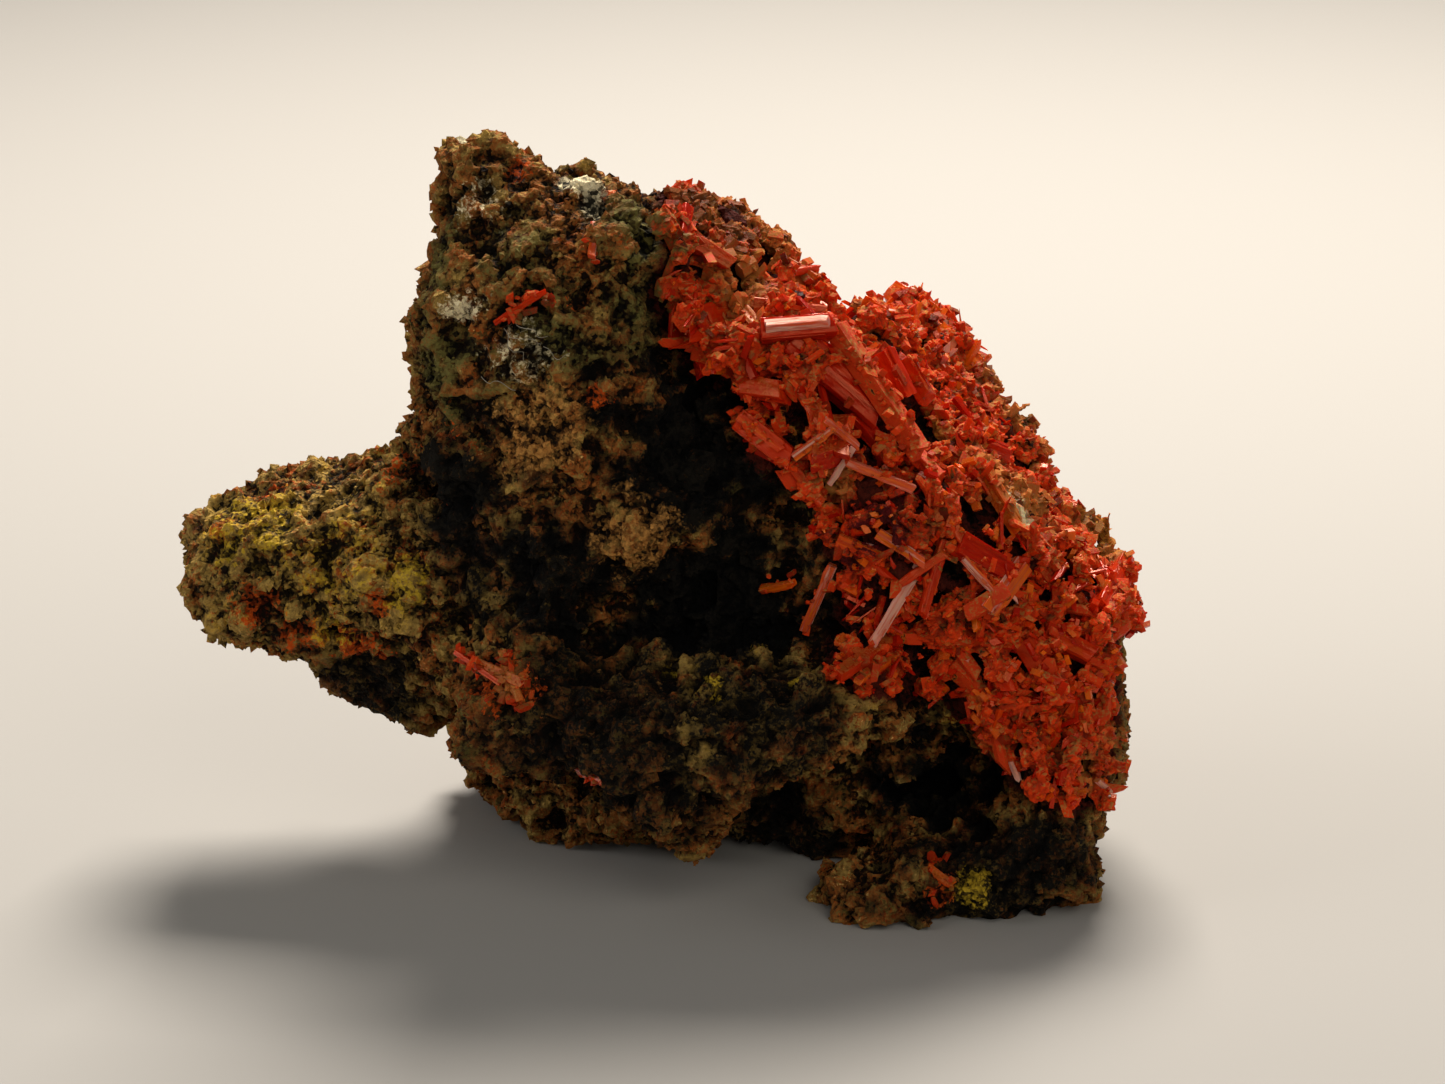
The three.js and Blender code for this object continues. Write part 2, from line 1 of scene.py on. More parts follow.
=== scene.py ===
# %% [markdown]
# # A crocoite cluster on gossan
# Gossan is the crumbly brown rock that is left where iron ore has rusted. Crocoite, red lead chromate,
# grows in its hollows as thin prisms with bright faces. The solid model says how big the specimen is and
# where each group of crystals sits, so this lesson starts by loading it and never moves it.

# %% Load the solid model
import math

import bmesh
import bpy
import numpy as np
from mathutils import Matrix, Vector, noise
from mathutils.bvhtree import BVHTree


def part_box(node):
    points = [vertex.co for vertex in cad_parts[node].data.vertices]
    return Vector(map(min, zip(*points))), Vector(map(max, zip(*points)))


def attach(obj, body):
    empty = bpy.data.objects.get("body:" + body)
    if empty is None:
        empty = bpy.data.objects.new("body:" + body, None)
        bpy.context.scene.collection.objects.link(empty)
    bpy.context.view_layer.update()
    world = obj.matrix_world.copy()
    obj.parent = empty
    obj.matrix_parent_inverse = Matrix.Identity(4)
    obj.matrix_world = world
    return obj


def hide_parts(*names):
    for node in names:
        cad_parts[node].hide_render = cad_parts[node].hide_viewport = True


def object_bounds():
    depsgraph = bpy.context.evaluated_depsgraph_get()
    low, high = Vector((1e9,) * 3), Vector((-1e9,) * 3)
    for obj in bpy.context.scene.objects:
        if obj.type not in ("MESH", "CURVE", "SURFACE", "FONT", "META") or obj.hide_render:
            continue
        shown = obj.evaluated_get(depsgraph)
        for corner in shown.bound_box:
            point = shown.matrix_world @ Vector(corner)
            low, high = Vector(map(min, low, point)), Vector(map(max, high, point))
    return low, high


NOISE_SEED = 5
noise.seed_set(NOISE_SEED)  # without it, noise vectors are different each time

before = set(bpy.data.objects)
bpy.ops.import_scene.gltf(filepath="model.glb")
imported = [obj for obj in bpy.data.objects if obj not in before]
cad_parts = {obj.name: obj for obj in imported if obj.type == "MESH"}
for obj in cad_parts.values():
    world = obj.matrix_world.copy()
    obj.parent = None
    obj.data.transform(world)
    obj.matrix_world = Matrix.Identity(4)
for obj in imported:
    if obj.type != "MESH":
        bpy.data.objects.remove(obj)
cad_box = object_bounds()
print("box of the solid model in metres:", cad_box)

# %% [markdown]
# The specimen is only 42 mm long and its grains are a fraction of a millimetre across, so everything is
# made in millimetres and a finished mesh is scaled to metres once. Small helpers carry meshes in and out
# of bmesh, so that each step can be written as the operators that shape it.

# %% Units and mesh helpers
MM = 0.001
TO_METRES = Matrix.Scale(MM, 4)
TO_MILLIMETRES = Matrix.Scale(1 / MM, 4)


def shown(name, data):
    """A new object in the scene."""
    made = bpy.data.objects.new(name, data)
    bpy.context.scene.collection.objects.link(made)
    return made


def mesh_of(shape, name):
    """A bmesh as a mesh."""
    mesh = bpy.data.meshes.new(name)
    shape.to_mesh(mesh)
    shape.free()
    return mesh


def finished(mesh, name, materials, node):
    """A mesh in millimetres as a piece of the model that stands for a node of the solid model."""
    mesh.transform(TO_METRES)
    mesh.name = name
    if materials:
        mesh.materials.clear()
    for material in materials:
        mesh.materials.append(material)
    piece = shown(name, mesh)
    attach(piece, "root")
    if node:
        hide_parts(node)
    print(f"{name}: {sum(len(face.vertices) - 2 for face in mesh.polygons)} triangles")
    return piece


def node_bmesh(node):
    """A node of the solid model as a bmesh in millimetres, with its loose triangles joined."""
    shape = bmesh.new()
    shape.from_mesh(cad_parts[node].data)
    shape.transform(TO_MILLIMETRES)
    bmesh.ops.remove_doubles(shape, verts=shape.verts, dist=0.002)
    return shape


solid_rock = node_bmesh("matrix")
rock_tree = BVHTree.FromBMesh(solid_rock)
print("matrix:", len(solid_rock.faces), "faces in the solid model")

# %% [markdown]
# The solid model laid its crystals out on a flat drawing of the specimen's best side: a place on the
# drawing is millimetres across and up from its middle, and a crystal's end is where the line of sight
# through that place comes as near to the rock as the stated lift. The same rule is used here, so every
# crystal lands where the solid model has it. A second drawing shows the side that is turned away.

# %% The two drawings, and how a place on one is seated on the rock
SIGHT_DISTANCE = 200
SIGHT_DROP = math.radians(18)
DRAWING_MIDDLE = Vector((2.65, -1.55, 14.7))
DRAWING_SHIFT = 2.6  # the middle's own place across the front drawing
REACH = 60
TOUCH = 0.01


def drawing(turn):
    """Its directions across and up, the shift of its middle, and the eye."""
    around = Matrix.Rotation(turn, 3, "Z")
    across = around @ Vector((1, 0, 0))
    upwards = around @ Vector((0, math.sin(SIGHT_DROP), math.cos(SIGHT_DROP)))
    sight = upwards.cross(across)
    return across, upwards, DRAWING_SHIFT * across.x, DRAWING_MIDDLE - sight * SIGHT_DISTANCE


FRONT = drawing(0)
BEHIND = drawing(math.pi)


def seat(view, place, lift=0.0):
    """The first point on the line of sight through a place that is as near to the rock as the lift."""
    across, upwards, shift, eye = view
    through = DRAWING_MIDDLE + across * (place[0] - shift) + upwards * place[1]
    sight = (through - eye).normalized()
    point = through - sight * REACH / 2
    best, best_distance, gone = point, REACH, 0.0
    while gone < REACH and best_distance > TOUCH:
        distance = rock_tree.find_nearest(point)[3] - lift
        if distance < best_distance:
            best, best_distance = point.copy(), distance
        step = max(TOUCH, distance)
        point = point + sight * step
        gone += step
    return best


def facing(point):
    """The way that the rock's surface faces nearest to a point."""
    return rock_tree.find_nearest(point)[1]


print("the knob's tip is seated at", tuple(round(v, 2) for v in seat(FRONT, (-8.4, 17.2))))

# %% [markdown]
# The camera is the eye of the front drawing: it looks down on the specimen by 18 degrees from 200 mm away,
# with the lens that shows about 63 mm from side to side, so a place on the drawing is a place in the picture.

# %% Camera
PIXELS_ACROSS = 1445
PIXEL = 0.0435  # how much of the specimen one of them shows, in mm
FRAME_WIDTH = PIXELS_ACROSS * PIXEL
SENSOR = 36

eye = shown("eye", bpy.data.cameras.new("eye"))
eye.data.sensor_width = SENSOR
eye.data.lens = SENSOR * SIGHT_DISTANCE / FRAME_WIDTH
eye.data.clip_start = 10 * MM
eye.data.clip_end = 10
eye.location = FRONT[3] * MM
eye.rotation_euler = (math.pi / 2 - SIGHT_DROP, 0, 0)
bpy.context.scene.camera = eye
print("lens:", round(eye.data.lens, 1), "mm")

# %% [markdown]
# Colours are written as the sRGB hex values that a paint chart gives, and one function turns them to the
# linear numbers that a shader works in. Another adds a shader or geometry node with all its settings and
# links, so that each material reads from top to bottom. Pattern sizes are stated as real millimetres.

# %% Colours and nodes
def linear(code, alpha=1.0):
    """An sRGB hex value as the linear colour that Blender works in."""
    levels = [int(code[i : i + 2], 16) / 255 for i in (1, 3, 5)]
    return [c / 12.92 if c <= 0.04045 else ((c + 0.055) / 1.055) ** 2.4 for c in levels] + [alpha]


def add(tree, kind, inputs=None, stops=None, **settings):
    """Adds a node with its settings. An input is a value, a socket, or a node whose first output is meant.

    The stops of a colour ramp are pairs of a position and a hex colour, the lowest two first.
    """
    made = tree.nodes.new(kind)
    for name, value in settings.items():
        setattr(made, name, value)
    for key, value in (inputs or {}).items():
        source = value.outputs[0] if isinstance(value, bpy.types.Node) else value
        if isinstance(source, bpy.types.NodeSocket):
            tree.links.new(source, made.inputs[key])
        else:
            made.inputs[key].default_value = source
    for number, (position, code) in enumerate(stops or []):
        elements = made.color_ramp.elements
        element = elements[number] if number < 2 else elements.new(position)
        element.position, element.color = position, linear(code)
    return made


def begun(name, settings):
    """A new material with these values on its surface shader, its nodes and that shader."""
    material = bpy.data.materials.new(name)
    material.use_nodes = True
    surface = material.node_tree.nodes["Principled BSDF"]
    for socket, value in settings.items():
        surface.inputs[socket].default_value = value
    return material, material.node_tree, surface


def per(millimetres):
    """The pattern scale that gives features of a real size on Object coordinates in metres."""
    return 1 / (millimetres * MM)


print("black is", linear("#000000"), "and 0.7 mm is a pattern scale of", round(per(0.7)))

# %% [markdown]
# The studio is plain, so that the colours are the specimen's own: a floor of pale card, a broad soft lamp
# above and a little behind, which lights the tops of the lumps and leaves the hollows dark, two weak lamps
# in front, and a faint even light from all round.

# %% Floor and lamps
FLOOR_HALF = 1.2  # in metres
LAMPS = {  # where each stands in mm, how wide it is in mm, its watts and its colour
    "key": ((30, 150, 220), 110, 1.35, "#FFF8F0"),
    "front_fill": ((100, -260, 190), 220, 0.33, "#FFFAF2"),
    "left_fill": ((-260, -60, 150), 200, 0.25, "#FFFFFF"),
}
bpy.context.scene.view_settings.view_transform = "Standard"

# pale card: matt, so that it shows a soft shadow and no reflection
card, _, _ = begun("pale_card", {"Base Color": linear("#A8A49D"), "Roughness": 0.9})
ground = bmesh.new()
bmesh.ops.create_grid(ground, x_segments=1, y_segments=1, size=FLOOR_HALF)
floor = shown("floor", mesh_of(ground, "floor"))
floor.data.materials.append(card)

for name, (place, width, power, colour) in LAMPS.items():
    lamp = shown(name, bpy.data.lights.new(name, "AREA"))
    lamp.data.size = width * MM
    lamp.data.energy = power
    lamp.data.color = linear(colour)[:3]
    lamp.location = Vector(place) * MM
    lamp.rotation_euler = (lamp.location - DRAWING_MIDDLE * MM).to_track_quat("Z", "Y").to_euler()

world = bpy.data.worlds.new("studio")
world.use_nodes = True
world.node_tree.nodes["Background"].inputs["Color"].default_value = linear("#D5DAE0")
world.node_tree.nodes["Background"].inputs["Strength"].default_value = 0.1
bpy.context.scene.world = world
print("floor and", len(LAMPS), "lamps")

# %% [markdown]
# Rock like this is covered in thousands of crumbs, and the large crystals in hundreds of smaller ones, so
# one helper does all the strewing. It takes a list of seeds, each with its place, turn, size and kind, and
# a small Geometry Nodes tree puts the shape of that kind at each. The instances are realized, so what comes
# out is one plain mesh that still carries each seed's tint, dust and relief. A second helper welds shapes
# that overlap into one skin by a voxel remesh.

# %% Strewing and welding
KEPT = {
    "turn": "FLOAT_VECTOR",
    "size": "FLOAT_VECTOR",
    "kind": "INT",
    "tint": "FLOAT",
    "dust": "FLOAT",
    "relief": "FLOAT",
}
SEED_SOCKETS = {"FLOAT_VECTOR": "vector", "INT": "value", "FLOAT": "value"}


def strewing_tree(shapes):
    """Shapes at the vertices of a mesh, turned, sized and chosen by its attributes, as one mesh."""
    tree = bpy.data.node_groups.new("strew", "GeometryNodeTree")
    tree.interface.new_socket("Geometry", in_out="INPUT", socket_type="NodeSocketGeometry")
    tree.interface.new_socket("Geometry", in_out="OUTPUT", socket_type="NodeSocketGeometry")
    start = add(tree, "NodeGroupInput")
    named = {}
    for name in ("turn", "size", "kind"):
        named[name] = add(tree, "GeometryNodeInputNamedAttribute", {"Name": name}, data_type=KEPT[name])
    chosen = add(
        tree,
        "GeometryNodeCollectionInfo",
        {"Collection": shapes, "Separate Children": True, "Reset Children": True},
    )
    turned = add(tree, "FunctionNodeEulerToRotation", {0: named["turn"].outputs[0]})
    copies = add(
        tree,
        "GeometryNodeInstanceOnPoints",
        {
            "Points": start.outputs[0],
            "Instance": chosen.outputs[0],
            "Pick Instance": True,
            "Instance Index": named["kind"].outputs[0],
            "Rotation": turned.outputs[0],
            "Scale": named["size"].outputs[0],
        },
    )
    real = add(tree, "GeometryNodeRealizeInstances", {0: copies.outputs[0]})
    add(tree, "NodeGroupOutput", {0: real.outputs[0]})
    return tree


def evaluated(piece):
    """The mesh that a piece's modifiers make."""
    bpy.context.view_layer.update()
    ready = piece.evaluated_get(bpy.context.evaluated_depsgraph_get())
    return bpy.data.meshes.new_from_object(ready, depsgraph=bpy.context.evaluated_depsgraph_get())


def welded(mesh, voxel):
    """Overlapping closed shapes as one skin, by a voxel remesh."""
    piece = shown("welded", mesh)
    skin = piece.modifiers.new("skin", "REMESH")
    skin.mode = "VOXEL"
    skin.voxel_size = voxel
    made = evaluated(piece)
    bpy.data.objects.remove(piece)
    return made


def strewn(name, seeds, meshes):
    """One mesh with a copy of meshes[kind] at each seed. A number that a seed leaves out is 0."""
    points = bpy.data.meshes.new(name)
    points.from_pydata([seed["at"] for seed in seeds], [], [])
    for key, kind in KEPT.items():
        values = [seed.get(key, 0) for seed in seeds]
        values = np.array(values, dtype=np.float32 if kind != "INT" else np.int32)
        points.attributes.new(key, kind, "POINT").data.foreach_set(SEED_SOCKETS[kind], values.ravel())
    shapes = bpy.data.collections.new(name)
    bpy.context.scene.collection.children.link(shapes)
    holders = [bpy.data.objects.new(f"{name}_{i:03d}", mesh) for i, mesh in enumerate(meshes)]
    for holder in holders:
        shapes.objects.link(holder)
    field = shown(name, points)
    modifier = field.modifiers.new("strew", "NODES")
    modifier.node_group = strewing_tree(shapes)
    mesh = evaluated(field)
    for old in [field, *holders]:
        bpy.data.objects.remove(old)
    bpy.data.collections.remove(shapes)
    return mesh


def positions(shape):
    """Where a bmesh's vertices are."""
    return np.array([vert.co for vert in shape.verts])


def sample(shape, count, rng):
    """Random places spread evenly over a bmesh, the way each one's face looks, and a corner's number.

    Some operators list the faces in another order each time, so the faces are first put in order by their
    corners. Then the places are the same each time.
    """
    bmesh.ops.triangulate(shape, faces=shape.faces)
    shape.verts.index_update()
    faces = np.array([[vert.index for vert in face.verts] for face in shape.faces])
    turned = (faces.argmin(axis=1)[:, None] + np.arange(3)) % 3
    faces = np.take_along_axis(faces, turned, axis=1)
    faces = faces[np.lexsort(faces.T)]
    corners = positions(shape)[faces]
    edge_a = corners[:, 1] - corners[:, 0]
    edge_b = corners[:, 2] - corners[:, 0]
    cross = np.cross(edge_a, edge_b)
    areas = np.linalg.norm(cross, axis=1)
    picked = rng.choice(len(areas), size=count, p=areas / areas.sum())
    a, b = rng.random((2, count, 1))
    folded = a + b > 1
    a = np.where(folded, 1 - a, a)
    b = np.where(folded, 1 - b, b)
    places = corners[picked, 0] + a * edge_a[picked] + b * edge_b[picked]
    return places, cross[picked] / areas[picked][:, None], faces[picked, 0]


# %% [markdown]
# ## The gossan matrix
# The solid model gives the rock its real outline in facets nearly 2 mm wide. A real lump of gossan is
# spongy: knobs and crumbs stand on it with dark gaps between them. Pushing a smooth skin in and out can't
# make such gaps, so thousands of rough crumbs and a few hundred knobs are sunk into the surface, and a
# voxel remesh welds them and the rock into one skin with real overhangs.

# %% Rough crumbs to weld on
VOXEL = 0.25
CRUMBS = 6500
CRUMB_SIZE = (0.26, 0.85)  # radius in mm
KNOBS = 260
KNOB_SIZE = (0.8, 1.5)
CRUMB_SUNK = (0.0, 0.6)  # how deep its middle lies, as a part of its radius
KNOB_SUNK = (0.55, 0.85)
MOSTLY_SMALL = 2.2  # the power of a random number that picks a size: more makes large ones rarer
CRUMB_KINDS = 4
ROCK_SEED = 7


def crumb(rng, detail):
    """A rough lump of radius 1: an icosphere with its corners pushed in and out."""
    shape = bmesh.new()
    bmesh.ops.create_icosphere(shape, subdivisions=detail, radius=1)
    for vert in shape.verts:
        vert.co *= rng.uniform(0.78, 1.08)
    return mesh_of(shape, "crumb")


def rock_skin():
    """The rock with crumbs welded to it, as one mesh in millimetres."""
    rng = np.random.default_rng(ROCK_SEED)
    places, ways, _ = sample(solid_rock.copy(), CRUMBS + KNOBS, rng)
    seeds = []
    for number, (place, way) in enumerate(zip(places, ways)):
        small, large = CRUMB_SIZE if number < CRUMBS else KNOB_SIZE
        radius = small + (large - small) * rng.random() ** MOSTLY_SMALL
        sunk = rng.uniform(*(CRUMB_SUNK if number < CRUMBS else KNOB_SUNK))
        seeds.append(
            {
                "at": place - way * radius * sunk,
                "turn": rng.uniform(-math.pi, math.pi, 3),
                "size": radius * rng.uniform(0.7, 1.3, 3),
                "kind": rng.integers(CRUMB_KINDS),
            }
        )
    both = solid_rock.copy()
    both.from_mesh(strewn("crumbs", seeds, [crumb(rng, 2) for _ in range(CRUMB_KINDS)]))
    return welded(mesh_of(both, "rock and crumbs"), VOXEL)


skin_mesh = rock_skin()
print("welded skin:", len(skin_mesh.vertices), "vertices")

# %% [markdown]
# Rounded knobs with creases between them, rough grain of several sizes and deep pits are the rest of a
# gossan's look, and all of them move the skin's vertices in or out, so that they are real shape and not
# only shading. Cell noise makes knobs and small pits. The pits that show best, and the dark gaps behind the
# large crystals, are given one by one on the drawing. The feet stay flat on the ground.

# %% Pits and roughness
PITS = [  # where on the front drawing, how wide and how deep, in mm
    ((7.9, 6.4), 1.3, 1.5), ((8.3, 4.9), 0.9, 1.0), ((10.9, 5.3), 0.8, 1.6), ((13.5, 1.2), 0.7, 1.0),
    ((12.5, -1.2), 0.6, 1.1), ((4.8, 11.9), 0.8, 1.3), ((-8.9, 9.6), 0.7, 0.9), ((-6.8, 9.9), 0.6, 0.6),
    ((-10.2, 2.6), 0.9, 0.9), ((-16.7, -2.2), 0.7, 0.7), ((-20.1, 0.9), 0.7, 0.6),
    ((-14.3, -3.8), 0.7, 0.7), ((-1.5, 5.2), 0.8, 0.8), ((0.8, 8.3), 0.8, 0.8), ((18.7, -2.9), 0.7, 0.9),
]
PIT_REACH = 1.3  # how far out a pit still sinks the skin, in its own widths
MARGIN = (0.6, 0.12, 0.6)  # how far the skin may stand out of the solid model's box, in mm
BEND = (1.4, 0.6)  # the size and strength of the noise that bends the knobs, in mm
KNOB_SPACING, LUMP_SPACING, PIT_SPACING = 1.9, 0.8, 2.6  # in mm
STRONG_SPACING, PITTED_SPACING = 4.3, 4.7  # how far apart the knobby and the pitted stretches are, in mm
BROAD, FINE = (2.6, 0.5), (0.7, 0.3)  # the sizes and heights of the broad and the fine noise, in mm
PIT_DEPTH, PIT_WIDTH = 1.9, 0.4  # of the small pits: depth in mm, width as a part of their spacing


def roughness(point):
    """How far the rock's skin is moved out at a point, in mm.

    The distance to the nearest cell middle makes rounded knobs with creases between them. They are
    strong in some places and weak in others, and rough noise of several sizes runs over them.
    """
    bent = point + noise.noise_vector(point / BEND[0]) * BEND[1]
    knobby = min(1.0, max(0.1, 0.45 + 1.1 * noise.noise(point / STRONG_SPACING)))
    knobs = 0.45 - noise.voronoi(bent / KNOB_SPACING)[0][0]
    lumps = 0.45 - noise.voronoi(bent / LUMP_SPACING)[0][0]
    broad = noise.fractal(point / BROAD[0], 0.8, 2.1, 3) * BROAD[1]
    fine = noise.fractal(point / FINE[0], 0.55, 2.2, 4) * FINE[1]
    nearest = noise.voronoi(point / PIT_SPACING)[0][0]
    pitted = max(0.0, 0.4 + noise.noise(point / PITTED_SPACING))
    pit = max(0.0, 1 - nearest / PIT_WIDTH) * pitted * PIT_DEPTH
    return (knobs + lumps * 0.5) * knobby + broad + fine - pit


def roughen(mesh):
    """Moves the skin in and out, opens the pits and keeps the feet flat on the ground."""
    shape = bmesh.new()
    shape.from_mesh(mesh)
    shape.normal_update()
    pits = [(seat(FRONT, place), width, depth) for place, width, depth in PITS]
    low, high = (Vector(corner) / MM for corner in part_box("matrix"))
    low, high = low - Vector(MARGIN), high + Vector(MARGIN)
    low.z = 0
    for vert in shape.verts:
        height = roughness(vert.co)
        for middle, width, depth in pits:
            away = (vert.co - middle).length / (width * PIT_REACH)
            if away < 1:
                height -= depth * (1 - away * away) ** 1.5
        vert.co += vert.normal * height
        for axis in range(3):
            vert.co[axis] = min(max(vert.co[axis], low[axis]), high[axis])
    return shape


rock = roughen(skin_mesh)
print("rock:", len(rock.verts), "vertices")

# %% [markdown]
# The rock's colours lie in patches: yellow ochre on the left lobe, olive and tan on the body, grey-white
# films, rust round the crystals, and black in the hollows, the cave and under the front ledge, which is
# partly manganese stain and partly painted shade. The crystals have patches of their own: umber, powder and
# wine red. A patch is a soft ball round a place that is given on a drawing.

# %% Where the patches of colour lie
PATCHES = {  # for each stain: where on the front drawing, radius in mm, strength
    "powder": [
        ((3.0, 8.6), 1.6, 0.9), ((2.8, 10.8), 2.4, 0.8), ((11.9, 4.2), 1.1, 1.0), ((8.4, 9.4), 1.2, 0.9),
        ((10.3, 8.3), 1.0, 0.9), ((12.0, 6.6), 1.0, 0.9), ((13.2, 5.2), 1.1, 0.9), ((15.4, 3.2), 1.2, 0.9),
        ((14.8, 1.8), 2.6, 0.9), ((12.2, 0.2), 1.6, 0.5), ((7.4, 3.0), 1.4, 0.8), ((18.6, -0.6), 2.4, 1.0),
        ((17.5, -9.0), 2.4, 0.9), ((14.4, -8.6), 1.2, 0.8), ((4.1, 13.5), 3.4, 0.8),
        ((15.6, 5.6), 2.6, 0.7), ((-6.6, -6.2), 1.2, 0.8), ((-3.0, -10.2), 0.8, 0.7),
        ((12.2, -14.8), 0.6, 0.7),
    ],
    "umber": [
        ((2.2, 13.6), 2.4, 0.9), ((4.3, 13.2), 1.9, 0.9), ((1.8, 12.2), 1.2, 0.6), ((14.6, 6.6), 2.0, 0.6),
    ],
    "wine": [
        ((9.4, 0.8), 2.2, 0.95), ((10.6, -0.6), 1.2, 0.7), ((8.7, 5.0), 1.6, 0.8), ((14.6, -4.2), 1.2, 0.8),
        ((16.4, -7.4), 1.2, 0.7), ((16.2, -1.9), 1.4, 0.6), ((11.4, 8.8), 1.0, 0.5),
        ((19.9, -3.4), 1.2, 0.5),
    ],
    "ochre": [
        ((-16.0, -0.6), 6.5, 0.62), ((-17.8, 1.0), 3.6, 0.9), ((-19.0, -1.6), 2.6, 0.5),
        ((-14.6, -1.2), 3.4, 0.8), ((-11.2, -1.6), 1.8, 0.9), ((-14.0, -3.6), 1.6, 0.9),
        ((0.5, -5.7), 0.8, 1.0), ((2.1, -6.5), 0.8, 1.0), ((4.2, -4.9), 0.7, 1.0), ((6.0, -6.2), 0.7, 1.0),
        ((3.6, -6.2), 4.2, 0.55), ((13.6, -15.1), 1.3, 1.0), ((17.9, 0.2), 2.4, 1.0),
        ((13.6, 3.2), 1.4, 0.9), ((9.6, 8.9), 0.9, 0.9), ((12.7, 6.1), 0.8, 0.9), ((15.6, 2.6), 1.1, 0.9),
        ((13.0, -7.6), 1.2, 0.7), ((12.1, 4.2), 1.4, 1.0), ((14.9, -8.2), 1.4, 0.8), ((5.9, 4.9), 0.5, 1.0),
    ],
    "tan": [
        ((-5.4, 5.0), 2.6, 0.85), ((-6.6, 3.4), 1.8, 0.7), ((-1.4, 0.1), 2.4, 0.85),
        ((-8.6, 10.6), 1.3, 0.6), ((-7.6, 15.6), 1.8, 0.6), ((-4.6, 12.6), 2.0, 0.5),
        ((-1.0, -6.2), 3.0, 0.5), ((5.2, -6.0), 2.6, 0.5), ((-6.6, -7.4), 2.0, 0.5),
    ],
    "rust": [
        ((-17.2, 2.0), 1.1, 1.0), ((-15.8, -3.8), 2.0, 0.8), ((-13.2, -4.4), 1.6, 1.0),
        ((-2.5, 15.0), 0.7, 1.0), ((-6.0, 16.0), 1.2, 0.9), ((-19.0, 0.4), 1.0, 0.95),
        ((-17.6, -2.6), 1.4, 0.9), ((-12.4, -2.4), 1.0, 0.9), ((-11.0, 3.6), 1.6, 0.8),
        ((-3.6, 10.4), 0.9, 0.8), ((-2.8, 6.4), 0.8, 0.9), ((-8.6, 5.6), 2.2, 0.6), ((-9.6, 1.6), 2.4, 0.5),
        ((-7.2, -5.8), 2.2, 0.9), ((-0.6, 8.6), 1.6, 0.5), ((12.0, -15.0), 1.2, 0.9),
        ((19.4, -6.2), 2.2, 0.7),
    ],
    "pale": [
        ((-3.5, 15.4), 1.3, 1.0), ((-3.1, 14.4), 0.7, 0.9), ((-7.9, 14.6), 1.5, 0.6),
        ((-8.6, 17.4), 0.6, 1.1), ((-8.4, 10.4), 1.2, 0.8), ((-6.1, 8.3), 2.0, 0.6),
        ((-6.4, 6.0), 1.8, 0.4), ((15.0, 0.8), 1.3, 1.0), ((15.9, -0.8), 1.2, 1.0),
        ((15.9, -2.4), 0.8, 0.9), ((17.4, 0.6), 1.4, 0.8),
    ],
    "olive": [
        ((-1.0, 13.4), 2.4, 0.9), ((-9.9, 7.6), 2.6, 0.85), ((-9.8, 11.8), 2.4, 0.85),
        ((-6.6, 12.4), 2.6, 0.75), ((-4.4, 9.2), 2.4, 0.8), ((-1.4, 10.4), 2.2, 0.85),
        ((-7.2, 7.0), 1.6, 0.7), ((-7.6, 16.0), 1.4, 0.6), ((14.0, 4.6), 0.9, 0.9),
        ((-17.2, 0.0), 3.6, 0.5), ((8.8, 9.0), 1.2, 0.8), ((11.6, 7.3), 1.3, 0.8), ((12.6, -1.0), 1.0, 0.9),
        ((19.6, -9.0), 2.6, 0.7), ((15.4, 5.0), 0.8, 1.0), ((14.5, 2.4), 0.8, 1.0), ((2.6, 0.9), 3.0, 0.3),
    ],
    # black: partly manganese stain, partly painted shade in the hollows, the cave and under the front ledge
    "black": [
        ((0.8, 3.4), 4.0, 1.1), ((-1.2, 9.0), 2.2, 0.6), ((-1.1, 13.6), 2.2, 0.75), ((-0.5, 3.4), 2.4, 1.0),
        ((2.6, 6.6), 2.2, 1.0), ((4.2, 2.6), 2.4, 1.0), ((-3.0, -8.4), 7.0, 0.9), ((4.0, -7.6), 5.0, 0.9),
        ((14.0, -15.0), 4.5, 0.95), ((2.2, -2.6), 4.6, 1.2), ((8.6, -3.6), 2.6, 1.0),
        ((12.6, -10.8), 4.2, 1.1), ((-5.0, 9.2), 1.3, 0.9), ((-0.2, 7.4), 1.7, 1.0),
        ((0.8, 11.8), 1.2, 0.9), ((-8.7, 14.4), 0.9, 1.0), ((-8.1, 5.4), 1.0, 1.0), ((-9.7, 7.0), 0.9, 1.0),
        ((-2.6, 5.7), 1.1, 1.0), ((-5.6, 3.0), 1.2, 0.9), ((-9.2, 2.6), 2.8, 1.1), ((-8.4, -0.6), 2.4, 0.9),
        ((-4.6, -1.6), 3.6, 1.0), ((-7.6, 5.4), 1.4, 0.8), ((-8.8, 8.8), 0.8, 0.9), ((-3.0, 7.4), 1.2, 0.7),
        ((5.0, -12.4), 4.0, 0.95), ((-12.5, -6.4), 3.4, 0.9), ((8.0, 6.2), 2.0, 0.6),
        ((17.0, -13.6), 3.0, 0.9),
    ],
}
GAPS = [  # where on the front drawing dark gaps open in the druses, and how wide, in mm
    ((7.9, 6.6), 1.9), ((8.4, 4.8), 1.4), ((10.9, 5.3), 1.7), ((6.6, 6.2), 1.4), ((13.5, 1.2), 1.2),
    ((12.5, -1.2), 1.1), ((4.8, 11.9), 1.3), ((5.6, 5.6), 0.7), ((9.3, 7.6), 0.8), ((9.6, -2.2), 0.7),
    ((12.2, -5.4), 0.6), ((15.0, -9.6), 0.6), ((17.2, 3.4), 0.7),
]
# the rock in each gap is painted black as painted shade, as well as being a real opening among the crystals
GAP_PAINTED_SHADE = 1.2
PATCHES["black"] += [(place, width, GAP_PAINTED_SHADE) for place, width in GAPS]
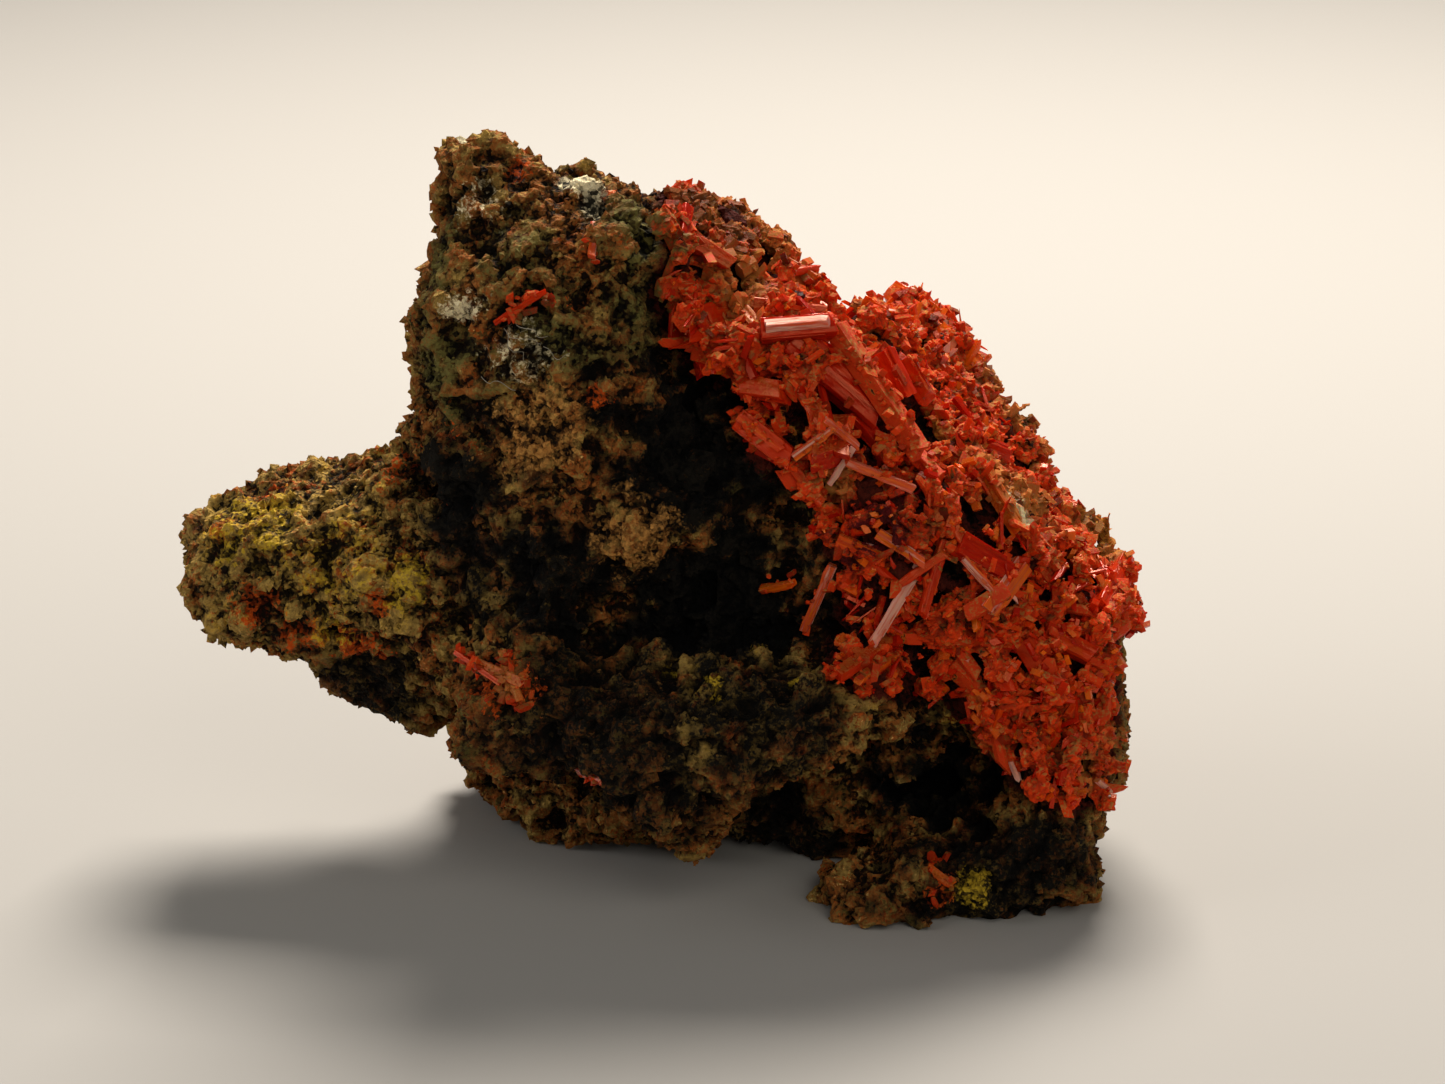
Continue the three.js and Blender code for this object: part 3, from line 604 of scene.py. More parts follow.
BACK_PATCHES = {  # the same, where on the back drawing
    "black": [
        ((0.5, 6.0), 2.0, 1.0), ((4.2, 1.0), 2.6, 0.9), ((9.2, -0.6), 2.0, 1.0), ((-3.6, -5.6), 3.0, 0.8),
        ((-0.4, -9.6), 3.2, 0.9), ((6.0, 8.2), 1.8, 0.8), ((3.4, -4.8), 2.2, 0.8),
    ],
    "tan": [
        ((2.6, 10.4), 2.6, 0.8), ((7.2, 4.2), 2.4, 0.8), ((-4.4, -1.8), 2.6, 0.7), ((0.8, -5.6), 2.0, 0.6),
    ],
    "ochre": [
        ((12.8, -1.0), 4.5, 0.7), ((15.0, -1.6), 2.6, 0.9), ((3.0, 3.6), 1.4, 0.85),
        ((-6.0, -8.6), 1.6, 0.9),
    ],
    "pale": [((6.8, 11.6), 1.2, 0.8), ((-1.0, 1.0), 1.0, 0.7), ((8.6, 1.8), 0.9, 0.8)],
    "rust": [
        ((5.0, -2.2), 1.8, 0.9), ((1.4, 8.0), 1.6, 0.8), ((-6.6, -3.6), 1.8, 0.9), ((11.0, 0.8), 1.4, 0.8),
    ],
    "olive": [((4.8, 6.4), 2.4, 0.7), ((-2.6, -3.6), 2.0, 0.7)],
}
PATCH_PLACES = {name: [] for name in PATCHES}
for view, tables in ((FRONT, PATCHES), (BEHIND, BACK_PATCHES)):
    for name, patches in tables.items():
        for place, radius, strength in patches:
            PATCH_PLACES[name].append((np.array(seat(view, place)), radius, strength))
print(sum(len(patches) for patches in PATCH_PLACES.values()), "patches")

# %% [markdown]
# A painter would mask and spray the stains; here each vertex keeps a number for each colour, so that the
# stains are fixed to the surface. Noise makes a patch's rim ragged. The relief is kept in the same way: it
# is how far a vertex stands out from the average of its neighbours, near and farther off. The materials use
# it for painted shade and painted light: pits are painted darker and tops lighter. Rock next to crystals is
# stained by their dust and painted darker as shade in the gaps under them.

# %% Stains and relief, kept on the vertices
RAGGED = 0.5  # how ragged the rim of a patch is, as a part of its radius
RIM_NOISE = 1.4  # the size of the rim's bays in mm
SOFT_RIM = 1.5  # where a patch ends, in its own radii
FINE_RELIEF, COARSE_RELIEF = 0.4, 0.8  # standing out by this many mm more raises the relief by 1
ROCK_ROUNDS = 4  # the rounds of averaging for the rock's fine relief
COARSER = 9  # how many times more rounds the coarse relief has
DUST_REACH = 1.2  # how far from a druse the rock is stained by its dust and painted darker as shade, in mm
DRUSES = [
    "upper_crystals",
    "slope_crystals",
    "lower_crystals",
    "right_knob_crystals",
    "ridge_crystals",
    "back_hump_crystals",
    "back_crystals",
]


def averaged(values, pairs, rounds):
    """Each vertex's value averaged with its neighbours' a number of times over."""
    count = np.bincount(pairs.ravel(), minlength=len(values))[:, None]
    for _ in range(rounds):
        total = np.zeros_like(values)
        np.add.at(total, pairs[:, 0], values[pairs[:, 1]])
        np.add.at(total, pairs[:, 1], values[pairs[:, 0]])
        values = 0.5 * values + 0.5 * total / count
    return values


def keep(mesh, name, values):
    """Stores one number for each vertex."""
    mesh.attributes.new(name, "FLOAT", "POINT").data.foreach_set("value", np.asarray(values, np.float32))


def relief_of(shape, rounds):
    """How far each vertex stands out from its surroundings, from 0, in a pit, to 1, on a tip."""
    shape.normal_update()
    places = positions(shape)
    normals = np.array([vert.normal for vert in shape.verts])
    pairs = np.array([[vert.index for vert in edge.verts] for edge in shape.edges])
    fine = ((places - averaged(places, pairs, rounds)) * normals).sum(1)
    coarse = ((places - averaged(places, pairs, rounds * COARSER)) * normals).sum(1)
    return np.clip(0.5 + fine / FINE_RELIEF + coarse / COARSE_RELIEF, 0, 1)


def stain(mesh):
    """Keeps on a mesh how strongly each of its vertices is stained with each colour."""
    places = np.array([vert.co for vert in mesh.vertices])
    rim = np.array([noise.fractal(vert.co / RIM_NOISE, 0.7, 2.1, 3) for vert in mesh.vertices]) * RAGGED
    for name, patches in PATCH_PLACES.items():
        amount = np.zeros(len(places))
        for middle, radius, strength in patches:
            away = np.linalg.norm(places - middle, axis=1) / radius + rim
            amount = np.maximum(amount, strength * np.clip(SOFT_RIM - away, 0, 1))
        keep(mesh, name, amount)
    return places


def keep_nearness(mesh, places):
    """Keeps how near each vertex is to a druse, where the rock is stained by its dust and painted darker as
    shade.
    """
    nearness = np.zeros(len(places))
    for tree in [BVHTree.FromBMesh(node_bmesh(druse)) for druse in DRUSES]:
        for index, place in enumerate(places):
            distance = tree.find_nearest(Vector(place), DUST_REACH)[3]
            if distance is not None:
                nearness[index] = max(nearness[index], min(1.0, DUST_REACH - distance))
    keep(mesh, "crystal_dust_and_painted_shade", nearness)


rock_relief = relief_of(rock, ROCK_ROUNDS)
rock_mesh = mesh_of(rock.copy(), "gossan")
keep(rock_mesh, "relief", rock_relief)
keep_nearness(rock_mesh, stain(rock_mesh))
print("rock's vertices in pits:", int((rock_relief < 0.3).sum()))

# %% [markdown]
# A finish like this is many thin layers: one colour shows through gaps in the next. Each layer's gaps come
# from patterns that are added up, each with a weight of its own, and compared with a level. Small helpers
# fetch the numbers that the vertices keep and noises of stated sizes, add them up, lay one colour over
# another and finish the surface, and every material below is written with them.

# %% Patterns, layers and surfaces
def kept_numbers(tree, names):
    """The numbers that the vertices keep, by name."""
    return {name: add(tree, "ShaderNodeAttribute", attribute_name=name).outputs["Fac"] for name in names}


def noises(tree, sizes, detail=5.0):
    """Rough noises on Object coordinates, with features of these sizes in mm."""
    where = add(tree, "ShaderNodeTexCoord").outputs["Object"]
    rough = {"Vector": where, "Detail": detail, "Roughness": 0.7}
    return [add(tree, "ShaderNodeTexNoise", {**rough, "Scale": per(size)}) for size in sizes]


def weighed(tree, parts):
    """Adds patterns up, each times its weight."""
    total = 0.0
    for pattern, weight in parts:
        total = add(tree, "ShaderNodeMath", {0: pattern, 1: weight, 2: total}, operation="MULTIPLY_ADD")
    return total


def ranged(tree, pattern, low, high, start=0.0, end=1.0, **settings):
    """A pattern changed so that low becomes start and high becomes end. It stays between these two."""
    span = {"Value": pattern, "From Min": low, "From Max": high, "To Min": start, "To Max": end}
    return add(tree, "ShaderNodeMapRange", span, **settings)


def mixed(tree, amount, colour, other, **settings):
    """The colour with an amount of another mixed in."""
    parts = {0: amount, 6: colour, 7: other}
    return add(tree, "ShaderNodeMix", parts, data_type="RGBA", **settings).outputs[2]


def coated(tree, colour, amount, pattern, low, high, code):
    """The colour with another over it, from where amount and pattern add up to low."""
    lifted = add(tree, "ShaderNodeMath", {0: amount, 1: pattern}, operation="ADD")
    return mixed(tree, ranged(tree, lifted, low, high), colour, linear(code))


def surfaced(tree, surface, colour, dull, raised, strength, height):
    """Gives a surface its colour, its dullness, and a grain that the shading raises by a height in mm."""
    bump = add(tree, "ShaderNodeBump", {"Strength": strength, "Distance": height * MM, "Height": raised})
    sources = {"Base Color": colour, "Roughness": dull.outputs[0], "Normal": bump.outputs[0]}
    for socket, source in sources.items():
        tree.links.new(source, surface.inputs[socket])


# %% [markdown]
# The gossan's material is goethite and limonite: earthy iron oxides, matt and fine grained, brown to
# black, weathering to tan and yellow ochre. The eye sees colour that changes from one grain to the next,
# so a cell noise with cells of 0.17 mm picks a tone for each grain, and noises of four sizes, from 2.4 mm
# down to 0.2 mm, mix the browns and break up the edges of the stains.

# %% The gossan
BROWNS = [  # by mottle, the ends first
    (0.42, "#5C5224"),
    (0.74, "#A6842E"),
    (0.49, "#6E5226"),
    (0.54, "#84481C"),
    (0.59, "#7C6230"),
    (0.65, "#94763A"),
]
STAINS = {  # colour, and the sum of amount and blotch where it starts and where it covers
    # black is partly manganese stain and partly painted shade in the hollows, the gaps and under the ledge
    "black": ("#100D08", 1.45, 1.9),
    "olive": ("#5C5429", 1.52, 1.88),
    "rust": ("#A8420F", 1.72, 1.82),
    "tan": ("#A8763A", 1.6, 2.0),
    "ochre": ("#A88A24", 1.76, 1.98),
    "pale": ("#CDBE98", 1.55, 1.75),
    # dark red-brown near the druses: partly their dust, partly painted shade in the gaps under them
    "crystal_dust_and_painted_shade": ("#3E1208", 1.4, 1.75),
}
NOISES = (2.4, 1.3, 0.7, 0.2)  # the sizes of the broad, patchy, knobby and speckled noise in mm
GRAIN_WIDTH = 0.17  # in mm
GRAIN_HEIGHT = 0.22  # how far the shading raises a grain, in mm


def gossan():
    """Earthy iron oxide rock. Its dullness and its grain tell the eye that it is dry and crumbly."""
    material, tree, surface = begun("gossan_iron_oxide", {"IOR": 1.5, "Specular IOR Level": 0.12})
    kept = kept_numbers(tree, ["relief", *STAINS])
    broad, patchy, knobs, speckle = noises(tree, NOISES)
    where = add(tree, "ShaderNodeTexCoord").outputs["Object"]
    grains = add(tree, "ShaderNodeTexVoronoi", {"Vector": where, "Scale": per(GRAIN_WIDTH)})
    grain_tone = add(tree, "ShaderNodeSeparateColor", {0: grains.outputs["Color"]})
    # painted shade and painted light: the relief in the tone darkens pits and creases and lightens tops; the
    # noise and grain parts are random tone
    tone = weighed(
        tree, [(broad, 0.5), (knobs, 0.4), (speckle, 0.6), (grain_tone, 0.45), (kept["relief"], 0.6)]
    )
    mottle = weighed(tree, [(broad, 0.5), (knobs, 0.4), (speckle, 0.2), (kept["ochre"], 0.14)])
    colour = add(tree, "ShaderNodeValToRGB", {0: mottle}, stops=BROWNS).outputs[0]
    coarse_mix = weighed(tree, [(patchy, 0.5), (speckle, 0.5), (kept["ochre"], 0.03)])
    fine_mix = weighed(tree, [(knobs, 0.35), (speckle, 0.65)])
    colour = coated(tree, colour, 0.0, coarse_mix, 0.545, 0.585, "#8A3E12")
    colour = coated(tree, colour, 0.0, fine_mix, 0.59, 0.63, "#C09A58")
    blotch = weighed(tree, [(knobs, 0.7), (speckle, 0.95), (grain_tone, 0.25)])
    for name, (code, low, high) in STAINS.items():
        colour = coated(tree, colour, kept[name], blotch, low, high, code)
    # the tone multiplies the colour: partly random tone, partly painted shade in pits and painted light on
    # tops
    shade = ranged(tree, tone, 0.98, 1.66, 0.04, 1.8, interpolation_type="SMOOTHSTEP")
    colour = mixed(tree, 1.0, colour, shade, blend_type="MULTIPLY")
    dull = ranged(tree, speckle, 0.0, 1.0, 0.7, 1.0)
    raised = weighed(tree, [(speckle, 1.0), (grains.outputs["Distance"], 0.6), (knobs, 0.8)])
    surfaced(tree, surface, colour, dull, raised, 1.0, GRAIN_HEIGHT)
    return material


gossan_material = gossan()
finished(rock_mesh, "gossan_rock", [gossan_material], "matrix")

# %% [markdown]
# Grains finer than the skin can show are a piece of their own: simple lumps of eight faces, up to two
# thirds of a millimetre across, half sunk into the skin. Each takes the relief of the place it lies on, a
# little changed: grains in pits carry the pit's painted shade, and the change gives each a random tone, so
# that the rock looks like packed sand and not like putty.

# %% Grains on the rock
GRAINS = 22000
GRAIN_SIZE = (0.08, 0.33)  # radius in mm
MOSTLY_FINE = 2.5  # the power of a random number that picks a grain's size
GRAIN_KINDS = 8


def grain(rng):
    """A rough lump of radius 1 with eight faces."""
    shape = bmesh.new()
    bmesh.ops.create_uvsphere(shape, u_segments=4, v_segments=2, radius=1)
    for vert in shape.verts:
        vert.co *= rng.uniform(0.7, 1.15)
    return mesh_of(shape, "grain")


def grains():
    """The loose grains as one mesh, each with its own relief value for a tone."""
    rng = np.random.default_rng(ROCK_SEED + 1)
    places, ways, corners = sample(rock.copy(), GRAINS, rng)
    small, large = GRAIN_SIZE
    seeds = []
    for place, way, corner in zip(places, ways, corners):
        radius = small + (large - small) * rng.random() ** MOSTLY_FINE
        if place[2] < 2 * radius:
            continue
        seeds.append(
            {
                "at": place + way * radius * rng.uniform(-0.5, 0.35),
                "turn": rng.uniform(-math.pi, math.pi, 3),
                "size": radius * rng.uniform(0.75, 1.3, 3),
                "kind": rng.integers(GRAIN_KINDS),
                # the painted shade of the place it lies on, with a random change of tone
                "relief": rock_relief[corner] + rng.uniform(-0.3, 0.4),
            }
        )
    mesh = strewn("grains", seeds, [grain(rng) for _ in range(GRAIN_KINDS)])
    keep_nearness(mesh, stain(mesh))
    return mesh


finished(grains(), "gossan_grains", [gossan_material], None)

# %% [markdown]
# ## The crystals
# A crocoite crystal is a near-square prism, grooved along its length, with a slanting or broken end. Some
# are hollow at the end. It starts as a round column, whose corners are moved in to a nearly square section
# with small ridges. That is stretched to its length and cut across by a slanting plane. The large crystals
# are made one by one from the solid model's numbers; the small ones repeat a few simple shapes.

# %% One prism
SQUARE = 9  # how square the section is: 2 would be an ellipse
SPARE = 1.3  # how long a column is before it is cut, for one that ends up 1 long
HOLLOW_WALL, HOLLOW_DEPTH = 0.17, 0.5  # of a hollow end, as parts of the crystal's width


def rough_column(shape, sides, groove, rng):
    """A column 1 mm across with a nearly square section and grooves in its sides. Returns its top corners."""
    ends = bmesh.ops.create_cone(shape, cap_ends=True, segments=sides, radius1=1, radius2=1, depth=1)["verts"]
    low, high = [[vert for vert in ends if (vert.co.z > 0) == upper] for upper in (False, True)]
    for bottom, top in zip(low, high):
        angle = math.atan2(bottom.co.y, bottom.co.x)
        c, s = math.cos(angle), math.sin(angle)
        reach = 0.5 * (abs(c) ** SQUARE + abs(s) ** SQUARE) ** (-1 / SQUARE)
        corner = abs(abs(c) - abs(s)) < 0.1
        reach *= 1 - groove * rng.random() * (0.3 if corner else 1)
        bottom.co = Vector((reach * c, reach * s, 0))
        top.co = bottom.co
    return high


def cut_across(shape, height, slant, rng):
    """Cuts the end off by a slanting plane and closes it. Returns the new end face."""
    turn = rng.uniform(0, 2 * math.pi)
    way = Vector((slant * math.cos(turn), slant * math.sin(turn), 1)).normalized()
    cut = bmesh.ops.bisect_plane(
        shape,
        geom=shape.verts[:] + shape.edges[:] + shape.faces[:],
        plane_co=(0, 0, height),
        plane_no=way,
        clear_outer=True,
    )
    edges = [part for part in cut["geom_cut"] if isinstance(part, bmesh.types.BMEdge)]
    return bmesh.ops.edgenet_fill(shape, edges=edges)["faces"]


def prism(length, wide, thick, sides, rng, groove=0.12, slant=0.5, taper=0.1, hollow=False, worn=0.0):
    """A prism along +Z in mm, from z = 0 to about its length."""
    shape = bmesh.new()
    top = rough_column(shape, sides, groove, rng)
    bmesh.ops.scale(shape, vec=(1 - taper, 1 - taper, 1), verts=top)
    bmesh.ops.translate(shape, vec=(0, 0, SPARE), verts=top)
    bmesh.ops.scale(shape, vec=(wide, thick, length), verts=shape.verts)
    end = cut_across(shape, length, slant, rng)
    if hollow and end:
        wall = HOLLOW_WALL * min(wide, thick)
        bmesh.ops.inset_region(shape, faces=end, thickness=wall, use_even_offset=True)
        sunk = list({vert for face in end for vert in face.verts})
        bmesh.ops.translate(shape, vec=(0, 0, -HOLLOW_DEPTH * wide), verts=sunk)
    if worn:
        bmesh.ops.bevel(
            shape, geom=shape.edges[:], affect="EDGES", offset=worn, segments=1, profile=0.5, material=-1
        )
    bmesh.ops.recalc_face_normals(shape, faces=shape.faces)
    return shape


# %% [markdown]
# The small crystals repeat 22 simple shapes 1 mm long and about 1 mm across, stretched and turned for each
# crystal: prisms with four, six or eight sides, shapeless lumps, and four-sided stubs. Each has only a few
# dozen faces, because thousands of them are strewn.

# %% The shapes of the small crystals
PRISMS, CRUSTY_LUMPS, STUBS = 12, 4, 6
LUMP_KINDS = range(PRISMS, PRISMS + CRUSTY_LUMPS)
STUB_KINDS = range(PRISMS + CRUSTY_LUMPS, PRISMS + CRUSTY_LUMPS + STUBS)
SHAPE_SEED = 31


def small_shapes():
    """The meshes that seeds name by their kind: prisms, then lumps, then stubs."""
    rng = np.random.default_rng(SHAPE_SEED)
    sides = [int(rng.choice([4, 6, 8])) for _ in range(PRISMS)] + [4] * STUBS
    prisms = [
        mesh_of(prism(1, 1, 1, count, rng, slant=rng.uniform(0.1, 0.7)), "small prism") for count in sides
    ]
    return prisms[:PRISMS] + [crumb(rng, 2) for _ in LUMP_KINDS] + prisms[PRISMS:]


SHAPES = small_shapes()
print(len(SHAPES), "shapes with up to", max(len(shape.polygons) for shape in SHAPES), "faces")

# %% [markdown]
# The large crystals, group by group, at the same places and sizes as in the solid model. The lift says how
# far a crystal's axis stands off the rock at each end. Tint runs from 0, deep red, through orange to 1,
# nearly white, which is a painted glint, and dust from 0, clean and bright, to 1, buried in orange-brown
# powder.

# %% The groups
# the highest tint, and tints near it, paint a crystal pinkish white as a painted highlight
RED, BRIGHT, ORANGE, ROSE, PAINTED_GLINT = 0.3, 0.45, 0.68, 0.88, 1.0
GROUPS = {
    "upper_crystals": [
        # from, to, wide, thick, lift at each end, tint, dust
        ((4.8, 8.6), (7.1, 5.0), 0.75, 0.7, (1.0, 1.6), BRIGHT, 0.35),
        ((7.8, 8.9), (11.2, 3.9), 0.9, 0.9, (1.8, 1.9), BRIGHT, 0.5),
        ((6.0, 8.4), (9.2, 5.6), 1.5, 1.2, (1.2, 1.3), RED, 0.05),
        ((4.8, 9.2), (7.3, 9.4), 1.0, 1.0, (2.0, 2.3), RED, 0.0),
        # nearly white: a painted highlight on the top face of the block below it
        ((5.0, 9.42), (7.25, 9.6), 0.45, 0.45, (2.5, 2.8), 0.97, 0.0),
        ((4.4, 10.2), (6.9, 9.9), 0.9, 0.9, (1.0, 1.2), RED, 0.3),
        ((3.4, 10.2), (4.7, 8.6), 0.6, 0.7, (1.0, 1.4), BRIGHT, 0.4),
        ((1.9, 8.6), (4.3, 8.3), 1.7, 0.8, (1.2, 1.4), BRIGHT, 0.75),
        ((3.6, 8.3), (3.6, 7.1), 0.7, 0.7, (1.0, 1.2), ORANGE, 0.7),
        ((2.4, 9.7), (0.7, 9.3), 1.7, 1.6, (0.6, 1.6), BRIGHT, 0.15),
        ((0.3, 11.0), (2.9, 10.9), 0.8, 0.8, (0.9, 0.9), ORANGE, 0.5),
        ((2.5, 8.1), (1.5, 7.6), 0.9, 0.8, (0.4, 1.2), RED, 0.1),
        ((3.9, 6.7), (5.3, 6.5), 0.9, 0.9, (0.9, 1.3), BRIGHT, 0.3),
        ((3.8, 5.0), (5.6, 3.6), 1.0, 0.9, (0.9, 1.3), BRIGHT, 0.15),
        ((5.0, 4.1), (6.9, 1.8), 0.5, 0.5, (1.0, 1.3), BRIGHT, 0.3),
        ((7.3, 4.8), (7.3, 3.6), 1.8, 1.2, (0.6, 1.9), RED, 0.3),
        ((6.1, 4.0), (7.5, 5.0), 0.35, 0.4, (1.7, 2.1), ROSE, 0.3),
        ((7.4, 5.0), (8.5, 4.1), 0.35, 0.4, (2.0, 1.7), ROSE, 0.2),
        ((7.5, 2.9), (8.3, 4.1), 0.3, 0.3, (1.3, 1.9), PAINTED_GLINT, 0.0),
        ((8.2, 3.4), (10.9, 2.3), 0.4, 0.4, (1.1, 1.3), ROSE, 0.2),
        ((9.8, 7.8), (10.5, 6.4), 0.9, 0.9, (1.5, 1.6), BRIGHT, 0.1),
        ((10.8, 7.5), (11.5, 6.2), 0.8, 0.8, (1.2, 1.3), BRIGHT, 0.3),
        ((6.8, 6.9), (7.3, 5.1), 0.35, 0.35, (0.8, 1.3), RED, 0.0),
        ((8.6, 5.2), (10.1, 3.5), 0.7, 0.6, (0.9, 1.1), RED, 0.1),
        ((10.6, 4.3), (12.1, 2.7), 0.6, 0.6, (0.9, 1.1), ORANGE, 0.5),
    ],
    "pale_prism_cluster": [
        ((10.9, -1.5), (9.1, -4.5), 0.45, 0.4, (0.6, 2.0), PAINTED_GLINT, 0.0),
        ((12.1, -0.4), (11.3, -3.2), 0.45, 0.4, (0.8, 1.5), BRIGHT, 0.2),
        ((10.5, -1.7), (12.3, -0.5), 0.4, 0.35, (0.9, 1.1), BRIGHT, 0.2),
        ((9.8, -4.4), (7.6, -5.8), 0.65, 0.6, (1.0, 2.0), BRIGHT, 0.35),
        ((10.0, -5.0), (8.5, -6.0), 0.45, 0.4, (0.8, 1.5), ORANGE, 0.4),
    ],
    "slope_crystals": [
        ((9.8, 0.1), (11.4, -0.9), 0.5, 0.5, (1.1, 1.3), ROSE, 0.1),
        ((8.1, -0.1), (9.6, -0.8), 0.6, 0.5, (1.1, 1.3), 0.6, 0.3),
        ((13.2, -0.3), (15.0, -1.4), 1.0, 0.8, (1.0, 1.1), RED, 0.05),
        ((15.3, -1.3), (14.1, -3.0), 0.9, 0.7, (1.1, 1.8), ROSE, 0.05),
        ((13.4, -1.1), (14.5, -2.3), 0.3, 0.3, (1.3, 1.5), ROSE, 0.0),
        ((13.0, 4.6), (14.9, 3.8), 0.9, 0.8, (0.9, 0.9), RED, 0.1),
        ((14.1, 2.8), (15.5, 0.5), 0.7, 0.6, (1.0, 1.1), ORANGE, 0.3),
        ((12.1, 1.6), (13.1, -0.1), 0.45, 0.4, (1.0, 1.2), BRIGHT, 0.2),
    ],
    "lower_crystals": [
        ((16.0, -4.7), (17.4, -6.9), 1.0, 0.8, (0.9, 1.4), BRIGHT, 0.05),
        ((14.0, -4.4), (15.1, -6.5), 0.7, 0.6, (0.9, 1.4), BRIGHT, 0.2),
        ((17.0, -4.1), (18.7, -5.0), 0.9, 0.7, (0.9, 1.3), BRIGHT, 0.1),
        ((13.4, -6.4), (14.7, -8.3), 0.6, 0.5, (0.8, 1.5), ORANGE, 0.4),
        ((17.3, -7.8), (18.0, -10.0), 0.6, 0.5, (0.8, 1.3), ORANGE, 0.3),
        ((15.6, -8.0), (16.4, -10.2), 0.5, 0.5, (0.8, 1.4), ORANGE, 0.4),
    ],
    "right_knob_crystals": [
        ((19.2, -2.8), (20.1, -0.9), 1.1, 0.9, (0.7, 0.9), BRIGHT, 0.1),
        ((19.1, -1.2), (20.0, -3.0), 0.8, 0.7, (0.7, 0.9), BRIGHT, 0.1),
    ],
    "ridge_crystals": [
        ((1.0, 14.2), (0.8, 12.6), 0.5, 0.5, (0.9, 1.2), RED, 0.2),
        ((1.9, 12.7), (2.9, 12.1), 0.7, 0.6, (0.9, 1.3), BRIGHT, 0.2),
        ((5.3, 12.0), (6.6, 11.2), 1.3, 1.1, (0.5, 0.8), ORANGE, 0.4),
    ],
    "back_hump_crystals": [
        ((9.2, 10.0), (10.6, 9.5), 1.2, 1.0, (0.8, 1.1), ORANGE, 0.1),
        ((10.4, 10.6), (12.0, 9.6), 1.3, 1.1, (0.6, 0.8), ORANGE, 0.2),
        ((12.1, 8.8), (13.4, 7.6), 1.2, 1.0, (0.6, 0.8), ORANGE, 0.2),
    ],
    "summit_crystal": [((-3.0, 13.5), (-3.1, 12.4), 0.5, 0.45, (0.1, 0.6), ROSE, 0.1)],
    "face_crystal": [((-6.9, 9.8), (-5.1, 10.9), 0.55, 0.5, (0.4, 0.7), BRIGHT, 0.2)],
    "front_left_crystals": [
        ((-7.4, -5.9), (-9.0, -4.8), 0.45, 0.4, (0.6, 1.1), BRIGHT, 0.1),
        ((-7.6, -5.5), (-6.0, -6.2), 1.0, 0.8, (0.5, 0.8), BRIGHT, 0.4),
        ((-6.8, -5.2), (-6.2, -6.9), 0.8, 0.7, (0.4, 0.8), ORANGE, 0.4),
    ],
    "ledge_crystal": [((-3.4, -10.0), (-2.6, -10.4), 0.8, 0.7, (0.3, 0.6), ROSE, 0.2)],
    "hollow_crystal": [((4.7, -2.0), (5.7, -1.8), 0.5, 0.5, (0.2, 0.6), ORANGE, 0.2)],
    "trailing_crystal": [((7.2, -1.4), (6.1, -3.9), 0.4, 0.4, (0.5, 0.8), ROSE, 0.2)],
    "back_crystals": [
        ((-8.9, 3.6), (-6.6, 3.2), 0.9, 0.8, (0.8, 1.3), BRIGHT, 0.2),
        ((-6.2, 3.9), (-5.0, 1.6), 0.7, 0.7, (0.8, 1.4), BRIGHT, 0.2),
        ((-8.4, 1.4), (-6.4, -0.6), 0.8, 0.7, (0.7, 1.3), ORANGE, 0.3),
    ],
    "back_low_crystals": [
        ((3.2, -2.4), (1.1, -3.6), 0.7, 0.6, (0.5, 1.0), BRIGHT, 0.1),
        ((2.9, -3.7), (1.6, -2.4), 0.6, 0.6, (0.5, 0.9), BRIGHT, 0.1),
    ],
    "toe_crystal": [((11.6, -14.2), (12.6, -14.9), 0.9, 0.8, (0.0, 0.4), ORANGE, 0.3)],
}
BACK_GROUPS = ("back_crystals", "back_low_crystals")
HOLLOW_ENDED = ("upper_crystals", 9)  # the group, and the row in it counted from 0
ROOT = 0.5  # how far a large crystal goes on into what it grows on, in mm
print(sum(len(rows) for rows in GROUPS.values()), "large crystals in", len(GROUPS), "groups")

# %% [markdown]
# Crocoite is lead chromate: a deep red crystal with a very high refractive index that lets a little light
# through, so thin ones glow orange. Its faces are streaked along their length. A clean crystal is the first
# material: subsurface scattering gives the glow, and its gloss is tinted, because light comes back out of
# the crystal as well as off it. Iron dust has settled on its upper faces. Most crystals, though, are dull
# all over with dust that has grown on, and those are the second material.

# %% Clean crocoite
REDS = [  # by tint, the ends first; the pale end is a painted glint
    (0.0, "#720C02"),
    (1.0, "#DE9C88"),
    (0.3, "#B41602"),
    (0.55, "#CE3006"),
    (0.75, "#E8640F"),
    (0.88, "#D04A2A"),
]
DUSTS = [(0.35, "#96400F"), (0.65, "#BE7030")]
GLOW = (1.0, 0.12, 0.03)  # how far red, green and blue light spreads inside, each as a part of the whole
STREAKS = 6.0  # lines on a mm across a large crystal
STRETCH = 0.07  # how much slower a streak changes along a crystal than across it


def streak_and_tops(tree):
    """A noise that is drawn out along each crystal, and how far the surface faces up."""
    lines = add(tree, "ShaderNodeAttribute", attribute_name="grown").outputs["Vector"]
    streak = add(tree, "ShaderNodeTexNoise", {"Vector": lines, "Scale": STREAKS, "Detail": 3.0})
    way = add(tree, "ShaderNodeSeparateXYZ", {0: add(tree, "ShaderNodeNewGeometry").outputs["Normal"]})
    return streak, way.outputs["Z"]


